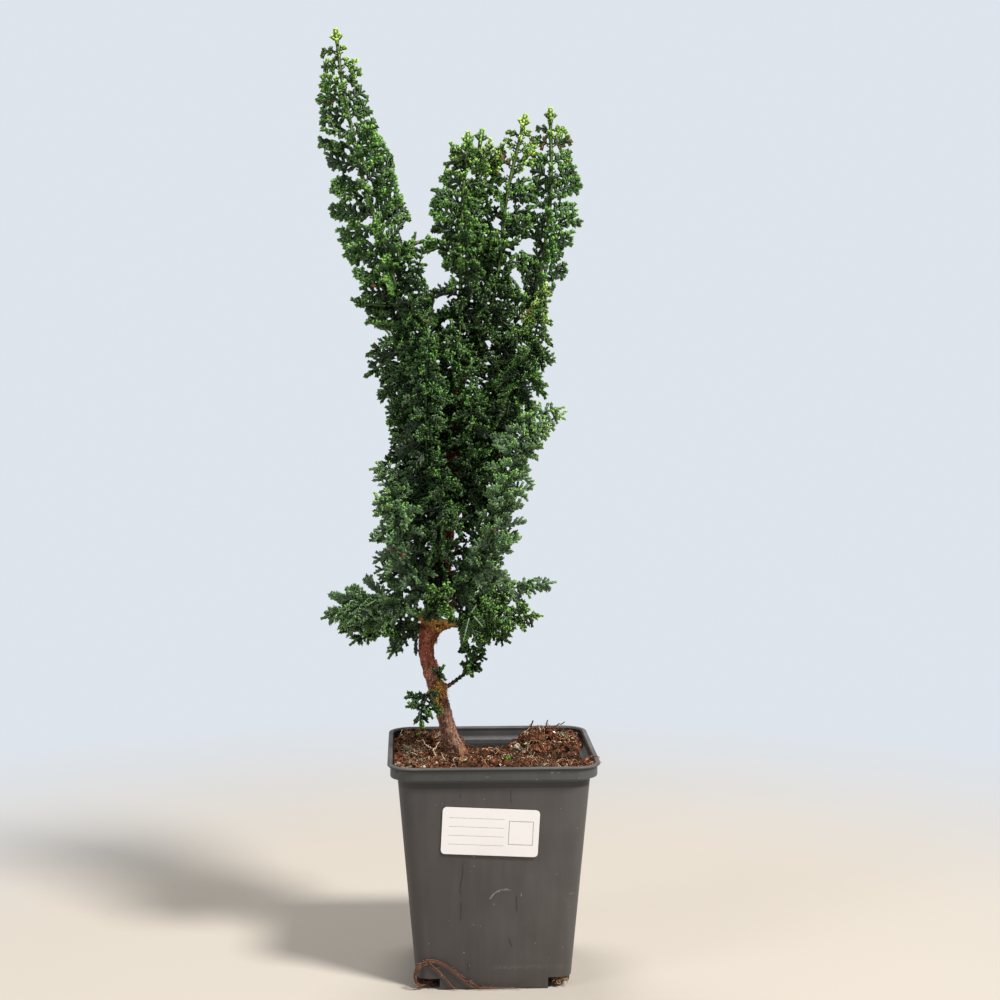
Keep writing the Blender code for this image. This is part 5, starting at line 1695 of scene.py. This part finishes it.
def newGroup(name, values, outputs):
    group = bpy.data.node_groups.new(name, "ShaderNodeTree")
    group.interface.new_socket("Vector", in_out="INPUT", socket_type="NodeSocketVector")
    for label, value in values.items():
        socket = group.interface.new_socket(label, in_out="INPUT", socket_type="NodeSocketFloat")
        socket.default_value = value
    for label in outputs:
        group.interface.new_socket(label, in_out="OUTPUT", socket_type="NodeSocketFloat")
    return group, group.nodes.new("NodeGroupInput").outputs, group.nodes.new("NodeGroupOutput").inputs


def mottleGroup():
    # cloudy patches: Mask runs from 0 below Low to 1 above High, Height is the noise itself
    values = {"Scale": 100.0, "Detail": 4.0, "Low": 0.35, "High": 0.65}
    group, enter, leave = newGroup("mottle", values, ("Mask", "Height"))
    cloud = group.nodes.new("ShaderNodeTexNoise")
    span = group.nodes.new("ShaderNodeMapRange")
    for label in ("Vector", "Scale", "Detail"):
        group.links.new(enter[label], cloud.inputs[label])
    group.links.new(cloud.outputs["Fac"], span.inputs["Value"])
    group.links.new(enter["Low"], span.inputs["From Min"])
    group.links.new(enter["High"], span.inputs["From Max"])
    group.links.new(span.outputs["Result"], leave["Mask"])
    group.links.new(cloud.outputs["Fac"], leave["Height"])
    return group


def gritGroup():
    # scattered specks: Share of the cells hold one, Size is its radius in cells
    values = {"Scale": 800.0, "Share": 0.05, "Size": 0.3}
    group, enter, leave = newGroup("grit", values, ("Mask",))

    def combined(operation, first, second):
        node = group.nodes.new("ShaderNodeMath")
        node.operation = operation
        group.links.new(first, node.inputs[0])
        group.links.new(second, node.inputs[1])
        return node.outputs[0]

    cells = group.nodes.new("ShaderNodeTexVoronoi")
    chance = group.nodes.new("ShaderNodeSeparateColor")
    for label in ("Vector", "Scale"):
        group.links.new(enter[label], cells.inputs[label])
    group.links.new(cells.outputs["Color"], chance.inputs[0])
    chosen = combined("LESS_THAN", chance.outputs[0], enter["Share"])
    near = combined("LESS_THAN", cells.outputs["Distance"], enter["Size"])
    group.links.new(combined("MULTIPLY", chosen, near), leave["Mask"])
    return group


mottle = mottleGroup()
grit = gritGroup()


class Finish:
    # a material under construction, with short ways to add the nodes that these finishes use
    def __init__(self, name):
        self.made = bpy.data.materials.new(name)
        self.made.use_nodes = True
        self.nodes = self.made.node_tree.nodes
        self.links = self.made.node_tree.links
        self.shader = self.nodes["Principled BSDF"]
        self.place = self.nodes.new("ShaderNodeTexCoord").outputs["Object"]

    def join(self, value, socket):
        if isinstance(value, bpy.types.NodeSocket):
            self.links.new(value, socket)
        else:
            socket.default_value = value

    def shared(self, group, vector=None, **values):
        node = self.nodes.new("ShaderNodeGroup")
        node.node_tree = group
        self.links.new(vector or self.place, node.inputs["Vector"])
        for label, value in values.items():
            node.inputs[label].default_value = value
        return node.outputs

    def number(self, operation, first, second=0.0, third=0.0):
        node = self.nodes.new("ShaderNodeMath")
        node.operation = operation
        for socket, value in zip(node.inputs, (first, second, third)):
            self.join(value, socket)
        return node.outputs[0]

    def times(self, first, second):
        return self.number("MULTIPLY", first, second)

    def minus(self, first, second):
        return self.number("SUBTRACT", first, second)

    def apart(self, first, second):
        return self.number("ABSOLUTE", self.minus(first, second))

    def span(self, value, low, high, toLow=0.0, toHigh=1.0):
        node = self.nodes.new("ShaderNodeMapRange")
        node.interpolation_type = "SMOOTHSTEP"
        for socket, given in zip(node.inputs, (value, low, high, toLow, toHigh)):
            self.join(given, socket)
        return node.outputs[0]

    def fall(self, value, low, high):
        return self.span(value, low, high, 1.0, 0.0)

    def blend(self, share, first, second, kind="MIX"):
        node = self.nodes.new("ShaderNodeMix")
        node.data_type = "RGBA"
        node.blend_type = kind
        self.join(share, node.inputs[0])
        for given, socket in ((first, node.inputs[6]), (second, node.inputs[7])):
            self.join((*given, 1) if isinstance(given, tuple) else given, socket)
        return node.outputs[2]

    def brighten(self, colour, factor):
        node = self.nodes.new("ShaderNodeVectorMath")
        node.operation = "SCALE"
        self.links.new(colour, node.inputs[0])
        self.join(factor, node.inputs["Scale"])
        return node.outputs[0]

    def varied(self, colour, value, low, high):
        # the colour times low where the value is 0, and times high where it is 1
        return self.brighten(colour, self.span(value, 0.0, 1.0, low, high))

    def painted(self, name="tone"):
        node = self.nodes.new("ShaderNodeAttribute")
        node.attribute_name = name
        return node.outputs["Color"]

    def parts(self, colour):
        node = self.nodes.new("ShaderNodeSeparateColor")
        self.links.new(colour, node.inputs[0])
        return node.outputs

    def axes(self):
        node = self.nodes.new("ShaderNodeSeparateXYZ")
        self.links.new(self.place, node.inputs[0])
        return node.outputs

    def stretched(self, scale):
        node = self.nodes.new("ShaderNodeMapping")
        self.links.new(self.place, node.inputs["Vector"])
        node.inputs["Scale"].default_value = scale
        return node.outputs[0]

    def bumped(self, height, strength, distance):
        node = self.nodes.new("ShaderNodeBump")
        node.inputs["Strength"].default_value = strength
        node.inputs["Distance"].default_value = distance
        self.links.new(height, node.inputs["Height"])
        self.links.new(node.outputs[0], self.shader.inputs["Normal"])

    def done(self, colour, roughness, gloss):
        self.join(colour, self.shader.inputs["Base Color"])
        self.join(roughness, self.shader.inputs["Roughness"])
        self.shader.inputs["Specular IOR Level"].default_value = gloss
        return self.made


leafLook = {
    "old": (0.0165, 0.052, 0.0105),
    "grown": (0.08, 0.186, 0.029),
    "young": (0.215, 0.305, 0.046),
    "dead": (0.21, 0.088, 0.042),
    "bloom": (0.36, 0.53, 0.33),
    "bloomShare": 0.3,
    # the next two multiply the leaf colour: a painted highlight on the leaf tips and painted shade in the
    # gaps between the leaves
    "tipHighlight": (1.95, 1.9, 1.6),
    "leafGapShadeColour": (0.14, 0.16, 0.155),
    "innerShade": 0.45,
    "darkest": 0.38,
    "lightest": 1.8,
    "roughness": 0.4,
    "gloss": 0.36,
}


def leafFinish():
    f = Finish("scaleLeaf")
    youth, leafGapShade, under = f.parts(f.painted("tone"))[:3]
    # age: red is how deep in the crown the foliage is (older leaves and painted shade), green a random mood,
    # blue dead
    inner, chance, dead = f.parts(f.painted("ageAndShade"))[:3]
    ramp = f.nodes.new("ShaderNodeValToRGB")  # from old leaves to the youngest
    stops = ramp.color_ramp.elements
    stops[0].color = (*leafLook["old"], 1)
    stops[1].color = (*leafLook["young"], 1)
    stops.new(0.45).color = (*leafLook["grown"], 1)
    f.links.new(youth, ramp.inputs["Fac"])
    colour = f.varied(ramp.outputs[0], chance, leafLook["darkest"], leafLook["lightest"])
    depth = f.blend(f.span(leafGapShade, 0.1, 0.8), leafLook["tipHighlight"], leafLook["leafGapShadeColour"])
    colour = f.blend(1.0, colour, depth, "MULTIPLY")  # painted highlights on the leaf tips, painted shade in the gaps between the leaves
    # painted shade: foliage deeper in the crown, nearer the wood, is painted darker, partly as older leaves
    # and partly as shade
    colour = f.varied(colour, inner, 1.0, leafLook["innerShade"])
    fine = f.shared(mottle, Scale=1300.0, Detail=3.0, Low=0.38, High=0.66)
    colour = f.varied(colour, fine["Mask"], 0.62, 1.42)
    patches = f.shared(mottle, Scale=90.0, Detail=2.0, Low=0.48, High=0.68)["Mask"]
    flecks = f.shared(grit, Scale=620.0, Share=0.1, Size=0.3)["Mask"]
    frosted = f.times(f.span(patches, 0.0, 1.0, 0.45, 1.0), under)
    flecked = f.times(flecks, f.span(under, 0.0, 0.8, 0.14, 0.55))
    bloom = f.number("MAXIMUM", f.times(frosted, leafLook["bloomShare"]), flecked)
    colour = f.blend(bloom, colour, leafLook["bloom"])
    colour = f.blend(dead, colour, leafLook["dead"])
    return f.done(colour, leafLook["roughness"], leafLook["gloss"])


paintedLooks = {  # finishes whose colour is laid on the points of the piece
    "bark": {"scale": 1500.0, "detail": 5.0, "darkest": 0.62, "lightest": 1.3, "gritScale": 1400.0,
             "gritShare": 0.05, "gritColour": (0.3, 0.27, 0.2), "roughness": 0.82, "gloss": 0.22,
             "bump": 0.6, "bumpDepth": 0.00025},
    "peat": {"scale": 1100.0, "detail": 6.0, "darkest": 0.36, "lightest": 1.5, "gritScale": 1000.0,
             "gritShare": 0.045, "gritColour": (0.5, 0.39, 0.26), "roughness": 0.95, "gloss": 0.04,
             "bump": 0.8, "bumpDepth": 0.0004},
    "rootSkin": {"scale": 1800.0, "detail": 3.0, "darkest": 0.75, "lightest": 1.25, "gritScale": 1500.0,
                 "gritShare": 0.06, "gritColour": (0.1, 0.05, 0.03), "roughness": 0.6, "gloss": 0.35,
                 "bump": 0.4, "bumpDepth": 0.00015},
}


def paintedFinish(name):
    look = paintedLooks[name]
    f = Finish(name)
    cloud = f.shared(mottle, Scale=look["scale"], Detail=look["detail"], Low=0.3, High=0.7)
    specks = f.shared(grit, Scale=look["gritScale"], Share=look["gritShare"], Size=0.34)
    colour = f.varied(f.painted(), cloud["Mask"], look["darkest"], look["lightest"])
    colour = f.blend(specks["Mask"], colour, look["gritColour"])
    f.bumped(cloud["Height"], look["bump"], look["bumpDepth"])
    return f.done(colour, look["roughness"], look["gloss"])


plasticLook = {
    "colour": (0.07, 0.0625, 0.059),
    "collar": (0.072, 0.0705, 0.07),
    # the colour of the painted highlight on the lip
    "pale": (0.165, 0.156, 0.148),
    "dust": (0.34, 0.33, 0.31),
    # the dark of the water streaks, also used for the painted shadow under the lip and under the collar
    "stainAndShade": (0.018, 0.016, 0.015),
    "limescale": (0.24, 0.235, 0.225),
    "roughness": 0.42,
    "gloss": 0.42,
    "collarFrom": (0.108, 0.112),  # where the wall's colour runs into the collar's
    "lipHighlightFrom": (0.119, 0.1199),  # and where the lip is painted paler as a highlight
    # dark streaks: place in X, lowest and highest point, how far it leans over its length
    "stains": [(-0.0172, 0.048, 0.0715, 0.001), (-0.0178, 0.036, 0.049, 0.0),
               (0.0075, 0.0995, 0.1085, -0.0012), (0.0115, 0.0405, 0.052, 0.0),
               (0.0083, 0.022, 0.028, -0.0018), (-0.0175, 0.103, 0.106, 0.0006)],
    "stainHalf": 0.0006,
    "limeHeight": 0.0118,
    "scratch": (0.0056, 0.0455, 0.0085),  # middle in X and Z, and radius
    # painted shadow in the creases under the lip and under the collar: low, high, strength
    "shadeBands": [(0.118, 0.119, 0.7), (0.1085, 0.1112, 0.62)],
    "leftShade": 0.8,  # painted shade and light: the wall is painted darker towards -X and lighter towards +X, as the light falls
    "rightShade": 1.14,
    # rubbed or dusty marks: place in X and Z, half sizes, strength
    "smudges": [(0.0291, 0.1171, 0.0011, 0.0008, 1.0), (0.0325, 0.1169, 0.0018, 0.0004, 0.6),
                (-0.004, 0.1151, 0.0022, 0.0004, 0.5), (0.0139, 0.0511, 0.0006, 0.0014, 0.5),
                (0.0402, 0.0512, 0.0022, 0.0005, 0.5), (-0.0003, 0.046, 0.0009, 0.0013, 0.25)],
}


def plasticFinish():
    look = plasticLook
    f = Finish("potPlastic")
    x, y, z = f.axes()[:3]
    flow = f.shared(mottle, f.stretched((1.0, 1.0, 0.06)), Scale=240.0, Detail=5.0, Low=0.35, High=0.7)
    cloud = f.shared(mottle, Scale=46.0, Detail=6.0, Low=0.35, High=0.65)
    grain = f.shared(mottle, Scale=2600.0, Detail=2.0, Low=0.3, High=0.7)
    dust = f.shared(grit, Scale=560.0, Share=0.03, Size=0.16)["Mask"]
    fluff = f.shared(grit, Scale=190.0, Share=0.05, Size=0.07)["Mask"]
    base = f.blend(f.span(z, *look["collarFrom"]), look["colour"], look["collar"])
    base = f.varied(base, flow["Mask"], 0.94, 1.07)
    base = f.varied(base, cloud["Mask"], 0.93, 1.08)
    # painted shade on the left of the pot, painted light on its right
    base = f.brighten(base, f.span(x, -0.046, 0.046, look["leftShade"], look["rightShade"]))
    # painted shadow: dark lines under the lip and under the collar
    for low, high, strength in look["shadeBands"]:
        lines = f.times(f.span(z, low - 0.0004, low, 0.0, strength), f.fall(z, high, high + 0.0003))
        base = f.blend(lines, base, look["stainAndShade"])
    # a painted highlight along the edge of the lip, and dried lime low down on the walls
    lipHighlight = f.times(f.span(z, *look["lipHighlightFrom"]), f.span(cloud["Height"], 0.3, 0.7, 0.35, 1.0))
    base = f.blend(lipHighlight, base, look["pale"])
    band = f.fall(f.apart(z, look["limeHeight"]), 0.0004, 0.0017)
    specky = f.times(f.span(grain["Height"], 0.52, 0.66), f.span(cloud["Height"], 0.42, 0.6))
    base = f.blend(f.times(f.times(band, specky), 0.45), base, look["limescale"])
    # streaks where water has run down the front wall
    front = f.fall(y, -0.04, -0.036)
    weave = f.times(f.minus(cloud["Height"], 0.5), 0.006)
    for at, low, high, lean in look["stains"]:
        middle = f.number("MULTIPLY_ADD", f.minus(z, (low + high) / 2), lean / (high - low), at)
        off = f.apart(f.number("ADD", x, weave), middle)
        mark = f.fall(off, look["stainHalf"] * 0.3, look["stainHalf"])
        soft = (high - low) * 0.25
        run = f.times(f.span(z, low, low + soft), f.fall(z, high - soft, high))
        base = f.blend(f.times(f.times(mark, run), f.times(front, 0.62)), base, look["stainAndShade"])
    # an arc of a scratch, and rubbed or dusty marks
    broken = f.span(grain["Height"], 0.44, 0.56)
    midX, midZ, radius = look["scratch"]
    offX, offZ = f.minus(x, midX), f.minus(z, midZ)
    far = f.number("SQRT", f.number("ADD", f.times(offX, offX), f.times(offZ, offZ)))
    arc = f.fall(f.apart(far, radius), 0.0002, 0.0006)
    arc = f.times(arc, f.times(f.span(offZ, 0.003, 0.004), f.fall(offX, 0.0026, 0.0034)))
    marks = f.times(arc, 0.8)
    for at, high, halfX, halfZ, strength in look["smudges"]:
        wide = f.number("ABSOLUTE", f.number("DIVIDE", f.minus(x, at), halfX))
        tall = f.number("ABSOLUTE", f.number("DIVIDE", f.minus(z, high), halfZ))
        spot = f.span(f.number("ADD", wide, tall), 0.5, 1.1, strength, 0.0)
        marks = f.number("MAXIMUM", marks, spot)
    base = f.blend(f.times(f.times(marks, front), broken), base, look["dust"])
    base = f.blend(f.times(f.number("MAXIMUM", dust, fluff), 0.45), base, look["dust"])
    f.bumped(f.number("ADD", grain["Height"], f.times(flow["Height"], 3.0)), 0.18, 0.00012)
    cloudy = f.span(cloud["Mask"], 0.0, 1.0, look["roughness"] - 0.06, look["roughness"] + 0.08)
    return f.done(base, f.number("ADD", cloudy, f.times(flow["Mask"], 0.05)), look["gloss"])


labelLook = {
    "middle": (-0.0022, 0.0852),
    "tilt": math.radians(2.8),
    "paper": (0.845, 0.806, 0.79),
    "soiled": (0.62, 0.56, 0.5),
    "ink": (0.3, 0.3, 0.31),
    "lines": (0.007, 0.0023, -0.0024, -0.0071),
    "linesFrom": -0.0215,
    "linesTo": 0.007,
    "lineHalf": 0.00013,
    "squareAt": 0.0157,
    "squareHalf": 0.0062,
    "squareLine": 0.00022,
}


def labelFinish():
    look = labelLook
    f = Finish("labelPaper")
    x, _, z = f.axes()[:3]
    offX, offZ = f.minus(x, look["middle"][0]), f.minus(z, look["middle"][1])
    c, s = math.cos(look["tilt"]), math.sin(look["tilt"])
    u = f.minus(f.times(offX, c), f.times(offZ, s))
    v = f.number("ADD", f.times(offX, s), f.times(offZ, c))
    lines = 0.0
    for at in look["lines"]:
        lines = f.number("MAXIMUM", f.number("COMPARE", v, at, look["lineHalf"]), lines)
    reach = (look["linesTo"] - look["linesFrom"]) / 2
    lines = f.times(lines, f.number("COMPARE", u, look["linesFrom"] + reach, reach))
    fromSquare = f.number("MAXIMUM", f.apart(u, look["squareAt"]), f.number("ABSOLUTE", v))
    square = f.number("COMPARE", fromSquare, look["squareHalf"], look["squareLine"])
    fibres = f.shared(mottle, Scale=900.0, Detail=6.0, Low=0.3, High=0.7)
    cloud = f.shared(mottle, Scale=55.0, Detail=5.0, Low=0.55, High=0.8)
    specks = f.shared(grit, Scale=520.0, Share=0.02, Size=0.12)["Mask"]
    faded = f.times(f.number("MAXIMUM", lines, square), f.span(fibres["Height"], 0.25, 0.6, 0.55, 0.9))
    colour = f.blend(f.times(cloud["Mask"], 0.16), look["paper"], look["soiled"])
    colour = f.blend(f.times(specks, 0.5), colour, look["soiled"])
    colour = f.blend(faded, colour, look["ink"])
    f.bumped(fibres["Height"], 0.25, 0.00006)
    return f.done(colour, f.span(cloud["Mask"], 0.0, 1.0, 0.42, 0.55), 0.35)


def dress(piece, material, slot, *replaced):
    piece.data.materials.clear()
    piece.data.materials.append(material)
    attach(piece, "root")
    if replaced:
        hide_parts(*replaced)


leafMade = leafFinish()
for name in names:
    dress(growShoot(name), leafMade, "scale_leaf", name)

dress(growTrunk(), paintedFinish("bark"), "bark", "trunk")
print("trunk grown")
dress(growSoil(), paintedFinish("peat"), "peat", "soil")
print("soil laid")
dress(growPot(), plasticFinish(), "pot_plastic", "pot")
print("pot moulded")
dress(growRoots(), paintedFinish("rootSkin"), "fine_root", "drain_root")
print("roots grown")
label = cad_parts["label"]
label.data.materials.clear()
label.data.materials.append(labelFinish())
print("label finished")


# Floor, sky light and lamps
studio = {
    "floorHalf": 12.0,
    "floorColour": (0.545, 0.492, 0.43),
    "backdrop": (0.73, 0.78, 0.84),  # what the camera sees behind the object
    "fadeFrom": 0.2,  # metres from the object where the floor starts to run into the backdrop
    "fadeTo": 0.75,
    "sky": (0.93, 0.97, 1.0),
    "skyStrength": 0.22,
    # lamps: name, place, size, power, colour
    "lamps": [("keyLamp", (1.5, -1.6, 2.7), 0.7, 145, (1.0, 0.985, 0.95)),
              ("fillLamp", (-2.0, -1.5, 1.6), 1.2, 15, (0.97, 0.99, 1.0)),
              ("topLamp", (-0.2, 0.6, 2.4), 0.8, 24, (1.0, 1.0, 1.0))],
    "lampsAim": (0, 0, 0.25),
}

mesh = bpy.data.meshes.new("floor")
half = studio["floorHalf"]
mesh.from_pydata([(sx * half, sy * half, -0.0002) for sx, sy in ((-1, -1), (1, -1), (1, 1), (-1, 1))],
                 [], [(0, 1, 2, 3)])
floor = bpy.data.objects.new("floor", mesh)
scene.collection.objects.link(floor)
paint = Finish("paleFloor")
far = paint.nodes.new("ShaderNodeVectorMath")
far.operation = "LENGTH"
paint.links.new(paint.place, far.inputs[0])
fade = paint.span(far.outputs["Value"], studio["fadeFrom"], studio["fadeTo"])
glow = paint.blend(fade, (0, 0, 0), studio["backdrop"])
paint.links.new(glow, paint.shader.inputs["Emission Color"])
paint.shader.inputs["Emission Strength"].default_value = 1.0
mesh.materials.append(paint.done(paint.blend(fade, studio["floorColour"], (0, 0, 0)), 1.0, 0.0))

world = bpy.data.worlds.new("studio")
world.use_nodes = True
sky = world.node_tree
rays = sky.nodes.new("ShaderNodeLightPath")
seen = sky.nodes.new("ShaderNodeMix")
seen.data_type = "RGBA"
light = [c * studio["skyStrength"] for c in studio["sky"]]
seen.inputs[6].default_value = (*light, 1)
seen.inputs[7].default_value = (*studio["backdrop"], 1)
sky.links.new(rays.outputs["Is Camera Ray"], seen.inputs[0])
sky.links.new(seen.outputs[2], sky.nodes["Background"].inputs["Color"])
scene.world = world
scene.view_settings.view_transform = "Standard"

for name, place, reach, power, colour in studio["lamps"]:
    data = bpy.data.lights.new(name, "AREA")
    data.shape = "DISK"
    data.size = reach
    data.energy = power
    data.color = colour
    lamp = bpy.data.objects.new(name, data)
    lamp.location = place
    lamp.rotation_euler = (Vector(studio["lampsAim"]) - Vector(place)).to_track_quat("-Z", "Y").to_euler()
    scene.collection.objects.link(lamp)
print("studio set")
